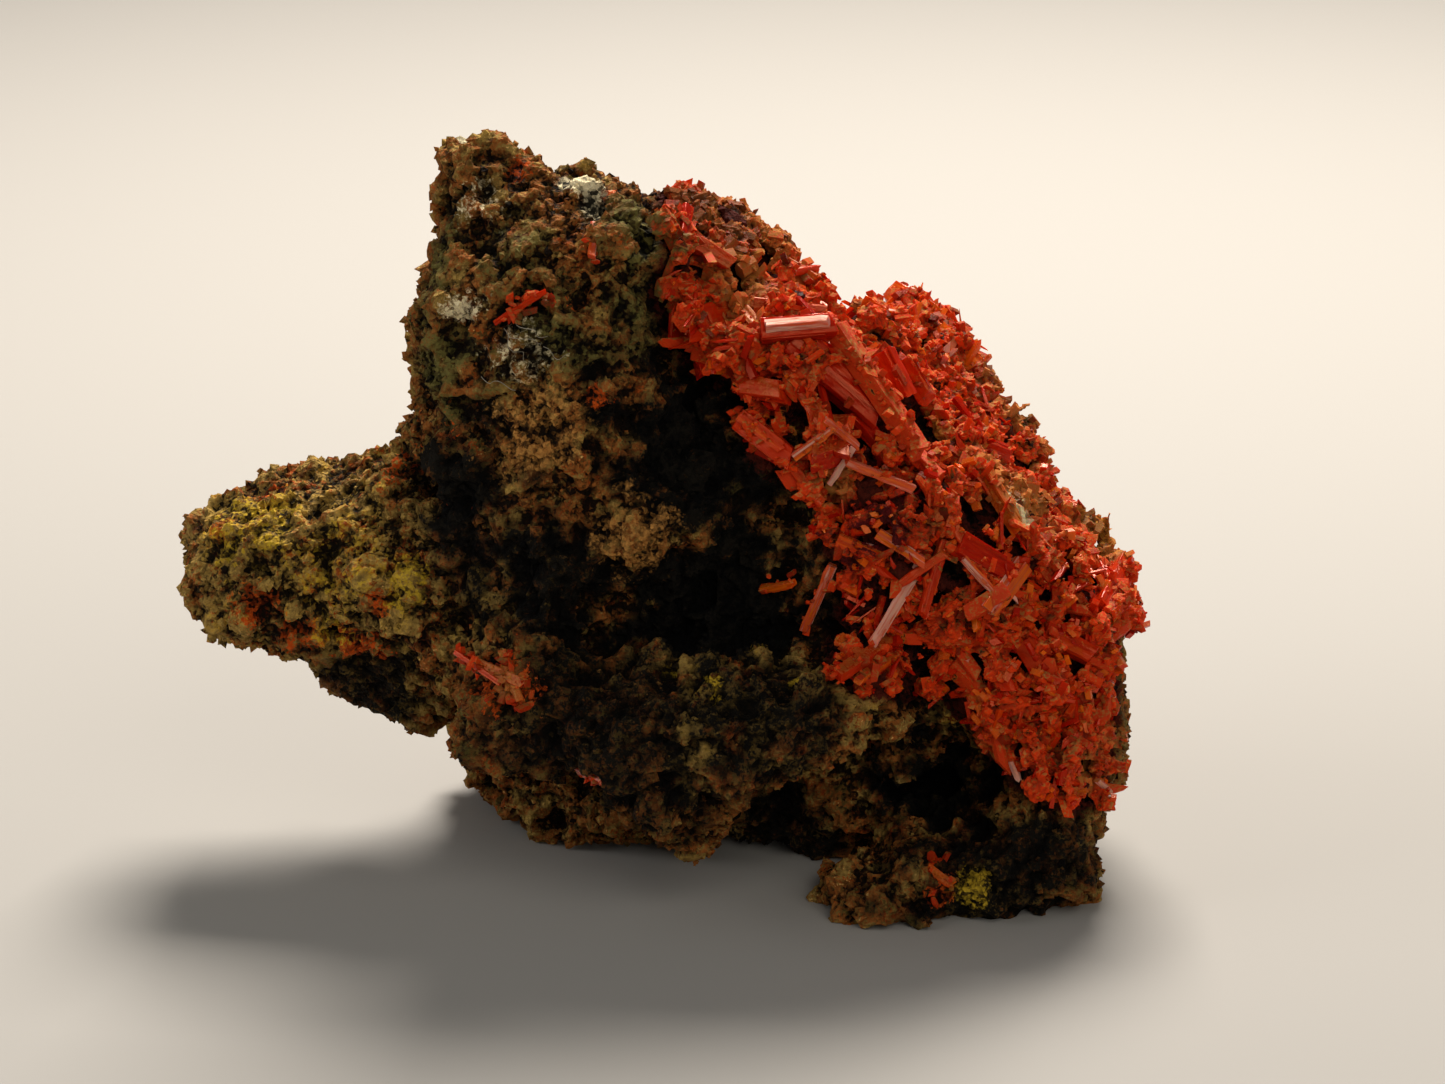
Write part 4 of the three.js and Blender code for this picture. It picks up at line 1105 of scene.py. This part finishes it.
def crocoite():
    """Lead chromate crystal: deep red, lets a little light through, very bright faces, dusty in places."""
    settings = {
        "IOR": 2.3,
        "Specular IOR Level": 0.2,
        "Specular Tint": linear("#FFA070"),
        "Transmission Weight": 0.08,
        "Subsurface Weight": 0.3,
        "Subsurface Radius": GLOW,
        "Subsurface Scale": 0.4 * MM,
    }
    material, tree, surface = begun("crocoite_crystal", settings)
    kept = kept_numbers(tree, ["tint", "dust", "powder"])
    cloud, powder = noises(tree, (0.7, 0.12), detail=4.0)
    streak, tops = streak_and_tops(tree)
    shifted = weighed(tree, [(kept["tint"], 1.0), (streak, 0.6), (1.0, -0.3)])
    red = add(tree, "ShaderNodeValToRGB", {0: shifted}, stops=REDS)
    lie = weighed(
        tree, [(kept["dust"], 0.9), (kept["powder"], 0.35), (powder, 0.35), (cloud, 0.7), (tops, 0.22)]
    )
    mask = ranged(tree, lie, 0.85, 1.2)
    colour = mixed(tree, mask, red, add(tree, "ShaderNodeValToRGB", {0: powder}, stops=DUSTS))
    palest = ranged(tree, kept["tint"], 0.85, 1.0, 0.14, 0.5)
    dull = weighed(tree, [(mask, 0.3), (palest, 1.0)])
    raised = weighed(tree, [(powder, 0.5), (streak, 1.0)])
    surfaced(tree, surface, colour, dull, raised, 0.5, 0.08)
    return material


crocoite_material = crocoite()
print("clean crocoite:", len(crocoite_material.node_tree.nodes), "nodes")

# %% [markdown]
# The dusted crystals have no gloss to speak of. Their red goes from nearly black in the joints to orange on
# the tips: partly random tone, partly painted shade in the joints and painted light on upward faces. Coats
# of other dust lie over them in patches: brown umber on the ridge, tan powder, wine red where they are damp
# and dark, ochre, olive and cream on the crest.

# %% Dusted crocoite
DULL_REDS = [  # by tone, the ends first
    (0.92, "#1E0200"),
    (1.66, "#E07C28"),
    (1.1, "#720700"),
    (1.24, "#B01402"),
    (1.42, "#D63A06"),
]
COATS = {  # colour, and the sum of amount and pattern where it starts and where it covers
    "umber": ("#7C441C", 1.15, 1.6),
    "wine": ("#4C0A0A", 1.4, 1.7),
    "powder": ("#BC7434", 1.25, 1.7),
    "ochre": ("#B8742A", 1.3, 1.7),
    "pale": ("#BCAA80", 1.5, 1.75),
    "olive": ("#705828", 1.5, 1.8),
}


def dusted():
    """Crocoite under iron oxide dust: dull orange-brown on top, red in the joints."""
    settings = {
        "IOR": 1.6,
        "Specular IOR Level": 0.1,
        "Subsurface Weight": 0.25,
        "Subsurface Radius": GLOW,
        "Subsurface Scale": 0.25 * MM,
    }
    material, tree, surface = begun("iron_dusted_crocoite", settings)
    kept = kept_numbers(tree, ["relief", "tint", *COATS])
    broad, cloud, powder = noises(tree, (2.2, 0.5, 0.14))
    streak, tops = streak_and_tops(tree)
    # painted shade and painted light: the relief darkens the joints and upward faces are lightened; the
    # noises and tint are random tone
    tone = weighed(
        tree,
        [
            (streak, 0.5),
            (1.0, -0.58),
            (broad, 1.1),
            (cloud, 0.9),
            (powder, 0.35),
            (kept["relief"], 0.3),
            (kept["tint"], 0.4),
            (tops, 0.08),
        ],
    )
    colour = add(tree, "ShaderNodeValToRGB", {0: tone}, stops=DULL_REDS).outputs[0]
    blotch = weighed(tree, [(cloud, 0.7), (powder, 0.7), (kept["relief"], 0.4)])
    settled = weighed(tree, [(cloud, 0.5), (powder, 0.7), (broad, 0.3), (tops, 0.14)])
    colour = coated(tree, colour, 0.0, settled, 0.83, 0.95, "#C07C3C")
    for name, (code, low, high) in COATS.items():
        colour = coated(tree, colour, kept[name], blotch, low, high, code)
    # painted shade: the joints, where the relief is low, are darkened
    shade = ranged(tree, kept["relief"], 0.15, 0.75, 0.08, 1.1)
    colour = mixed(tree, 1.0, colour, shade, blend_type="MULTIPLY")
    dull = ranged(tree, blotch, 0.75, 1.1, 0.35, 0.9)
    raised = weighed(tree, [(powder, 1.0), (cloud, 0.6), (streak, 0.6)])
    surfaced(tree, surface, colour, dull, raised, 0.8, 0.1)
    return material


dusted_material = dusted()
print("dusted crocoite:", len(dusted_material.node_tree.nodes), "nodes")


def dressed(mesh, slot):
    """Gives a mesh both crystal materials, and all its faces the one of that number."""
    mesh.materials.clear()
    for material in (crocoite_material, dusted_material):
        mesh.materials.append(material)
    mesh.polygons.foreach_set("material_index", np.full(len(mesh.polygons), slot, dtype=np.int32))
    return mesh


def small_crystals(name, seeds, slot):
    """A mesh with a small crystal at each seed, stained, with the material of that number."""
    mesh = strewn(name, seeds, SHAPES)
    stain(mesh)
    return dressed(mesh, slot)


# %% [markdown]
# Each large crystal is a prism stood on its seat, with its faces made slightly uneven and streaked, and
# four thinner prisms, its ribs, grown along its sides. Real ones are ribbed like this because many crystals
# grow side by side in one direction. A dusty one gets a crust of stubs on its faces. The lone crystals away
# from the druses stand in small heaps of broken bits.

# %% The parts of a large crystal
BURIED = 0.45  # a crystal with more dust than this is dull all over
LOOSE_RELIEF = 0.6  # what a sharp crystal has for relief
ETCHED = 0.05  # how far the faces of a large crystal are uneven, in mm
CUTS = 7  # how often a long face is divided for that
RIBS = 4
RIB_WIDTH = (0.2, 0.45)  # as a part of the crystal's width
RIB_LENGTH = (0.6, 0.95)  # as a part of its length
BIT_WIDTH = (0.16, 0.45)  # in mm
CRUST = 12.0  # stubby crystals on a square mm of a large crystal that is all dust
RIB_ACROSS, RIB_OVER = (-0.42, 0.42), (-0.1, 0.42)  # where a rib is, in parts of the crystal's width
CLUSTERS = {  # the small groups: how much thinner their prisms are, how many bits surround each, tint
    "face_crystal": (0.45, 24, 0.3),
    "front_left_crystals": (0.5, 26, 0.4),
    "toe_crystal": (0.5, 20, 0.5),
    "ledge_crystal": (0.6, 14, 0.5),
    "back_low_crystals": (0.6, 24, 0.4),
    "hollow_crystal": (0.7, 4, 0.65),
    "summit_crystal": (0.7, 5, 0.85),
}


def bits(root, axis, side, over, length, wide, count, tint, rng):
    """Seeds for short prisms and lumps in a heap round a prism."""
    seeds = []
    for _ in range(count):
        size = rng.uniform(*BIT_WIDTH)
        along = rng.uniform(0.0, 1.0)
        lean = Vector(rng.normal(size=3)) + over * 0.6
        seeds.append(
            {
                "at": root
                + axis * along * length
                + side * rng.normal() * 0.45 * wide
                + over * (rng.uniform(-0.6, 0.05) * wide - 0.15),
                "turn": lean.to_track_quat("Z", "Y").to_euler()[:],
                "size": (size, size * rng.uniform(0.6, 1.0), size * rng.uniform(1.0, 2.0)),
                "kind": int(rng.integers(LUMP_KINDS.stop)),
                "tint": tint + rng.uniform(-0.25, 0.2),
                "dust": 0.3,
                "relief": rng.uniform(0.3, 0.8),
            }
        )
    for seed in seeds:
        if seed["kind"] in LUMP_KINDS:
            seed["size"] = tuple(part * 0.5 for part in seed["size"])
    return seeds


def placed(shape, root, axis, over):
    """Stands a prism on its root, along its axis, with its width turned to lie along the rock."""
    side = over.cross(axis).normalized()
    if side.length < 0.5:
        side = axis.orthogonal().normalized()
    turn = Matrix((side, axis.cross(side), axis)).transposed().to_4x4()
    shape.transform(Matrix.Translation(root) @ turn)
    return shape


def etched(shape):
    """Divides a prism's long faces and makes them slightly uneven, as growth and wear leave them."""
    long = [edge for edge in shape.edges if edge.calc_length() > 0.6]
    bmesh.ops.subdivide_edges(shape, edges=long, cuts=CUTS, use_grid_fill=True)
    shape.normal_update()
    for vert in shape.verts:
        vert.co += vert.normal * noise.fractal(vert.co / 0.6, 0.8, 2.2, 3) * ETCHED
    bmesh.ops.triangulate(shape, faces=[face for face in shape.faces if len(face.verts) > 4])
    return shape


def tagged(shape, name, tint, dust, root, axis, side):
    """A bmesh as a mesh that carries one tint and one dust, and its own directions for the streaks."""
    own = (positions(shape) - root) @ np.array([side, axis.cross(side), axis * STRETCH]).T
    mesh = mesh_of(shape, name)
    mesh.attributes.new("grown", "FLOAT_VECTOR", "POINT").data.foreach_set(
        "vector", (own + np.array(root)).astype(np.float32).ravel()
    )
    keep(mesh, "tint", np.full(len(mesh.vertices), tint))
    keep(mesh, "dust", np.full(len(mesh.vertices), dust))
    keep(mesh, "relief", np.full(len(mesh.vertices), LOOSE_RELIEF))
    stain(mesh)
    return mesh


# %% [markdown]
# A crystal runs between its two seats on the rock, and its root goes on into what it grows on, so that no
# gap shows under it. Its ribs are set off to its sides and share its direction, tint and dust.

# %% Building the large crystals of a group
def large_crystals(group, rng):
    """A group's large crystals, each with a few thinner ones grown alongside it."""
    view = BEHIND if group in BACK_GROUPS else FRONT
    slim, count, heap_tint = CLUSTERS.get(group, (1.0, 0, 0.0))
    meshes = []
    for number, (start, end, wide, thick, lift, tint, dust) in enumerate(GROUPS[group]):
        root = seat(view, start, lift[0])
        axis = seat(view, end, lift[1]) - root
        length = axis.length
        axis.normalize()
        over = facing(root)
        side = over.cross(axis).normalized()
        hollow = (group, number) == HOLLOW_ENDED
        if count:
            heap = bits(root, axis, side, over, length, wide, count, heap_tint, rng)
            meshes.append(small_crystals(group, heap, 1))
            wide, thick = wide * slim, thick * slim
        body = prism(length + ROOT, wide, thick, 16, rng, slant=0.5, taper=0.06, hollow=hollow, worn=0.02)
        coat = int(dust > BURIED)
        body = etched(placed(body, root - axis * ROOT, axis, over))
        crust = sugar_seeds(body.copy(), np.full(len(body.verts), LOOSE_RELIEF), CRUST * dust, rng)
        meshes.append(dressed(tagged(body, group, tint, dust, root, axis, side), coat))
        if crust:
            meshes.append(small_crystals(group + "crust", crust, 1))
        for _ in range(0 if hollow else RIBS):
            share = rng.uniform(*RIB_WIDTH)
            rib = prism(length * rng.uniform(*RIB_LENGTH) + ROOT, wide * share, thick * share, 8, rng)
            off = side * wide * rng.uniform(*RIB_ACROSS) + over * thick * rng.uniform(*RIB_OVER)
            rib = placed(rib, root - axis * ROOT + off, axis, over)
            own_tint = tint + rng.uniform(-0.12, 0.12)
            meshes.append(dressed(tagged(rib, group, own_tint, dust, root, axis, side), coat))
    return meshes


# %% [markdown]
# The rest of each druse is thousands of smaller crystals at all angles. The dull ones lie half buried in
# orange-brown iron dust, grown into one another: they are welded into a bed by a fine voxel remesh, which
# rounds them off and fills their joints as dust does. Dusty and clean prisms lie on the bed and stay sharp.
# All are strewn over the outer face of the group's solid, and left out where a dark gap opens.

# %% Dull, dusty and clean crystals
SMALL = {  # for each druse: dull, dusty and clean crystals on a square mm, tint low and high
    "upper_crystals": (3.4, 0.25, 0.6, 0.05, 0.5),
    "slope_crystals": (3.6, 0.15, 0.9, 0.1, 0.55),
    "lower_crystals": (3.6, 0.3, 1.2, 0.15, 0.6),
    "right_knob_crystals": (3.6, 0.2, 0.8, 0.25, 0.5),
    "ridge_crystals": (3.8, 0.15, 0.3, 0.3, 0.6),
    "back_hump_crystals": (3.6, 0.2, 0.5, 0.6, 0.85),
    "back_crystals": (3.6, 0.3, 0.8, 0.2, 0.6),
}
KINDS = {  # width, length, lean in radians and height of the middle over the outer face; dust
    "dull": ((0.5, 1.2), (1.0, 2.4), (0.9, 1.55), (-0.7, -0.25), (0.9, 0.9)),
    "dusty": ((0.35, 0.85), (0.8, 1.7), (0.9, 1.5), (-0.5, -0.2), (0.5, 0.5)),
    "clean": ((0.12, 0.36), (0.5, 1.4), (0.9, 1.5), (-0.35, 0.0), (0.0, 0.3)),
}
LUMPS = 0.85  # the share of the dull crystals that are shapeless lumps
PAINTED_GLINT_SHARE = 0.05  # the share of the clean crystals that are painted pinkish white as a painted glint
PROUD = 0.45  # how far a small prism may reach out of the druse, in mm
CLEARED = [((1.1, 9.4), 1.1)]  # a place on the drawing that the bed leaves open, and how wide, in mm
THICK = 0.65  # the strength from which a patch of dust hides clean crystals
OPEN_NOISE = 0.33  # no dull crystal grows where a slow noise is above this
OPEN_SPACING, TINT_SPACING = 1.3, 2.0  # how far apart the open and the tinted stretches are, in mm
OUTWARDS, OFF_ROCK = 0.3, 0.35  # how far a face must look out and, in mm, lie off the rock to be an outer one
GAP_LIFT = 0.5  # how far off the rock the middle of a gap is, in mm
LUMP_SIZE = (0.22, 0.42)  # the least radius of a lump, and about the most that is added to it, in mm
LUMP_HEIGHT = (-0.65, -0.1)  # of its middle over the outer face, in mm


def lying(place, out, kind, rng):
    """A seed for a prism of a kind that leans away from the rock's facing."""
    wide, length, lean, height, _ = KINDS[kind]
    wide = wide[0] + (wide[1] - wide[0]) * rng.random() ** 1.5
    length, lean, height = rng.uniform(*length), rng.uniform(*lean), rng.uniform(*height)
    across = out.orthogonal().normalized()
    across.rotate(Matrix.Rotation(rng.uniform(0, 2 * math.pi), 3, out))
    axis = (out * math.cos(lean) + across * math.sin(lean)).normalized()
    height -= max(0.0, length / 2 * math.cos(lean) - PROUD)
    aim = axis.to_track_quat("Z", "Y").to_matrix() @ Matrix.Rotation(rng.uniform(0, math.pi), 3, "Z")
    return {
        "at": place + out * height - axis * length / 2,
        "turn": aim.to_euler()[:],
        "size": (wide, wide * rng.uniform(0.6, 1.0), length),
        "kind": int(rng.integers(PRISMS)),
    }


def druse_seeds(group, rng):
    """The dull, dusty and clean seeds of a druse."""
    *densities, tint_low, tint_high = SMALL[group]
    gaps = [(seat(FRONT, place, GAP_LIFT), width) for place, width in GAPS + CLEARED]
    shape = node_bmesh(group)
    area = sum(face.calc_area() for face in shape.faces)
    seeds = {}
    for kind, density in zip(KINDS, densities):
        seeds[kind] = []
        places, ways, _ = sample(shape, int(area * density), rng)
        for place, way in zip(places, ways):
            place, way = Vector(place), Vector(way)
            _, out, _, distance = rock_tree.find_nearest(place)
            if way.dot(out) < OUTWARDS or distance < OFF_ROCK:
                continue
            if any((place - middle).length < width for middle, width in gaps):
                continue
            if kind == "dull" and noise.noise(place / OPEN_SPACING) > OPEN_NOISE:
                continue
            seed = lying(place, out, kind, rng)
            patch = 0.5 + 0.5 * noise.noise(place / TINT_SPACING)
            seed["tint"] = tint_low + (tint_high - tint_low) * (0.5 * rng.random() + 0.5 * patch)
            seed["dust"] = rng.uniform(*KINDS[kind][4])
            seed["relief"] = LOOSE_RELIEF
            if kind == "dull" and rng.random() < LUMPS:
                seed["at"] = place + out * rng.uniform(*LUMP_HEIGHT)
                seed["size"] = LUMP_SIZE[0] + LUMP_SIZE[1] * rng.random() ** 2 * rng.uniform(0.7, 1.3, 3)
                seed["kind"] = int(rng.choice(LUMP_KINDS))
            if kind == "clean" and covered(place):
                continue
            if kind == "clean" and rng.random() < PAINTED_GLINT_SHARE:
                seed["tint"] = PAINTED_GLINT
            seeds[kind].append(seed)
    shape.free()
    return seeds


def covered(place):
    """Whether a place lies under a thick patch of dust."""
    return any(
        strength > THICK and np.linalg.norm(middle - place) < radius
        for name in ("powder", "umber", "ochre", "pale")
        for middle, radius, strength in PATCH_PLACES[name]
    )


# %% [markdown]
# Seen close up, the bed glitters with stubby crystals that grew out of it, like coarse sugar. They are
# strewn over the bed's own skin and stand nearly upright on it, and they take its relief for their tone, so
# that the painted shade of the joints between the lumps falls on them too.

# %% Stubby crystals, and the bed they grow on
SUGAR = 7.0  # stubby crystals on a square mm of the bed
SUGAR_SIZE = (0.14, 0.55)  # width in mm
CLEAN_SUGAR = 0.5  # how much of it is clean, for each clean crystal on a square mm
OVER = 0.2  # how far out of the solid model's box still counts as in it, in mm
BED_TINT = 0.4
BED_TINTS = {"back_hump_crystals": 0.8}  # where the bed has another tint
DUST_VOXEL = 0.13
BED_GRAIN = (0.45, 0.16)  # the size and height of the noise that roughens the bed, in mm
BED_WORN = 0.05  # how far the bed is taken back for it, in mm
BED_ROUNDS = 3  # the rounds of averaging for the bed's fine relief


def inside(place):
    """Whether a place is in the solid model's box, or nearly."""
    return all(
        low / MM - OVER < at < high / MM + OVER for low, at, high in zip(cad_box[0], place, cad_box[1])
    )


def sugar_seeds(shape, relief, density, rng):
    """Seeds for stubby crystals on the outer side of a bmesh. They take its relief for a tone."""
    places, ways, corners = sample(shape, int(sum(face.calc_area() for face in shape.faces) * density), rng)
    seeds = []
    for place, way, corner in zip(places, ways, corners):
        place, way = Vector(place), Vector(way)
        if way.dot(facing(place)) < 0 or not inside(place):
            continue
        wide = SUGAR_SIZE[0] + (SUGAR_SIZE[1] - SUGAR_SIZE[0]) * rng.random() ** 2
        length = wide * rng.uniform(0.8, 1.8)
        axis = (way + 0.55 * Vector(rng.normal(size=3))).normalized()
        seeds.append(
            {
                "at": place - axis * length * rng.uniform(0.35, 0.75),
                "turn": axis.to_track_quat("Z", "Y").to_euler()[:],
                "size": (wide, wide * rng.uniform(0.6, 1.0), length),
                "kind": int(rng.choice(STUB_KINDS)),
                "tint": rng.uniform(0.2, 0.8),
                "dust": rng.uniform(0.0, 0.4),
                # the bed's painted shade at this place, with a random change
                "relief": relief[corner] + rng.uniform(-0.2, 0.25),
            }
        )
    shape.free()
    return seeds


def dust_bed(group, lumps):
    """Dull crystals welded together, roughened, with their relief and stains."""
    bed = bmesh.new()
    bed.from_mesh(welded(lumps, DUST_VOXEL))
    bed.normal_update()
    for vert in bed.verts:
        grain_height = noise.fractal(vert.co / BED_GRAIN[0], 0.6, 2.3, 4) * BED_GRAIN[1]
        vert.co += vert.normal * (grain_height - BED_WORN)
    relief = relief_of(bed, BED_ROUNDS)
    mesh = mesh_of(bed.copy(), group)
    keep(mesh, "relief", relief)
    keep(mesh, "tint", np.full(len(relief), BED_TINTS.get(group, BED_TINT)))
    stain(mesh)
    return mesh, bed, relief


# %% [markdown]
# Each group's large crystals, bed and small crystals become one piece, in place of the group's node. Both
# materials are on it, and each face names its own. A few tips reach out of the solid model's box, which
# says how big the specimen is, and they are drawn in.

# %% Each group as one piece
GROUP_SEED = 100
DRAWN_IN = 0.75  # how much of what is too far out is taken back


def joined(meshes, name):
    """Several meshes as one, with their attributes."""
    objects = [shown(name, mesh) for mesh in meshes]
    chosen = {"selected_objects": objects, "selected_editable_objects": objects}
    with bpy.context.temp_override(active_object=objects[0], object=objects[0], **chosen):
        bpy.ops.object.join()
    mesh = objects[0].data
    bpy.data.objects.remove(objects[0])
    return mesh


def drawn_in(mesh):
    """Draws what reaches far out of the solid model's box back towards it."""
    places = np.empty(len(mesh.vertices) * 3, np.float32)
    mesh.vertices.foreach_get("co", places)
    low, high = (np.array(corner) / MM for corner in cad_box)
    out = places.reshape(-1, 3) - np.clip(places.reshape(-1, 3), low - OVER, high + OVER)
    mesh.vertices.foreach_set("co", places - DRAWN_IN * out.ravel())
    return mesh


for number, group in enumerate(GROUPS):
    rng = np.random.default_rng(GROUP_SEED + number)
    meshes = large_crystals(group, rng)
    if group in SMALL:
        seeds = druse_seeds(group, rng)
        mesh, bed, relief = dust_bed(group, strewn(group + "dull", seeds["dull"], SHAPES))
        meshes.append(dressed(mesh, 1))
        sugar = sugar_seeds(bed, relief, SUGAR, rng)
        for seed in sugar:
            seed["tint"] += BED_TINTS.get(group, BED_TINT) - BED_TINT
            clean = rng.random() < CLEAN_SUGAR * SMALL[group][2] and not covered(seed["at"])
            seeds["clean" if clean else "dusty"].append(seed)
        for kind in ("dusty", "clean"):
            meshes.append(small_crystals(group + kind, seeds[kind], int(kind == "dusty")))
        print(f"{group}:", {kind: len(grown) for kind, grown in seeds.items()})
    finished(drawn_in(joined(meshes, group)), group + "_grown", [], group)

# %% [markdown]
# A few threads of lint are caught on the rock's face. They are far too thin for the solid model: a ring
# of five points, extruded step by step along a bow that stands off the rock between two places.

# %% Lint
THREADS = [  # from and to on the front drawing, and how far the middle bows out, in mm
    ((-6.9, 9.3), (-5.3, 8.6), 0.7),
    ((-6.4, 9.5), (-4.9, 9.0), 1.0),
    ((-6.7, 9.0), (-6.0, 7.8), 0.4),
    ((-5.2, 8.5), (-4.0, 8.2), 0.5),
    ((-7.9, 7.2), (-6.4, 6.6), 0.4),
]
THREAD_RADIUS = 0.013
THREAD_STEPS = 14
THREAD_LIFT = 0.25  # how far its ends are off the rock, in mm
WANDER = 0.5  # how far it strays from its bow, in mm
# cotton lint: its matt, greyish white tells the eye that it is soft
cotton, _, _ = begun("cotton_lint", {"Base Color": linear("#A39A86"), "Roughness": 0.95})


def thread(start, end, bow):
    """A thin thread between two places on the rock's face."""
    first, last = seat(FRONT, start, THREAD_LIFT), seat(FRONT, end, THREAD_LIFT)
    out = facing(first)
    points = []
    for step in range(THREAD_STEPS + 1):
        part = step / THREAD_STEPS
        wander = noise.noise_vector(first + Vector((part * 2, 0, 0))) * WANDER
        points.append(first.lerp(last, part) + (out * bow + wander) * 4 * part * (1 - part))
    turn = (last - first).to_track_quat("Z", "Y").to_matrix().to_4x4()
    shape = bmesh.new()
    bmesh.ops.create_circle(
        shape, cap_ends=True, segments=5, radius=THREAD_RADIUS, matrix=Matrix.Translation(points[0]) @ turn
    )
    end_face = shape.faces[:]
    for before, after in zip(points, points[1:]):
        grown = bmesh.ops.extrude_face_region(shape, geom=end_face)["geom"]
        end_face = [part for part in grown if isinstance(part, bmesh.types.BMFace)]
        corners = [part for part in grown if isinstance(part, bmesh.types.BMVert)]
        bmesh.ops.translate(shape, vec=after - before, verts=corners)
    bmesh.ops.recalc_face_normals(shape, faces=shape.faces)
    return mesh_of(shape, "thread")


finished(joined([thread(*row) for row in THREADS], "lint"), "lint_threads", [cotton], None)
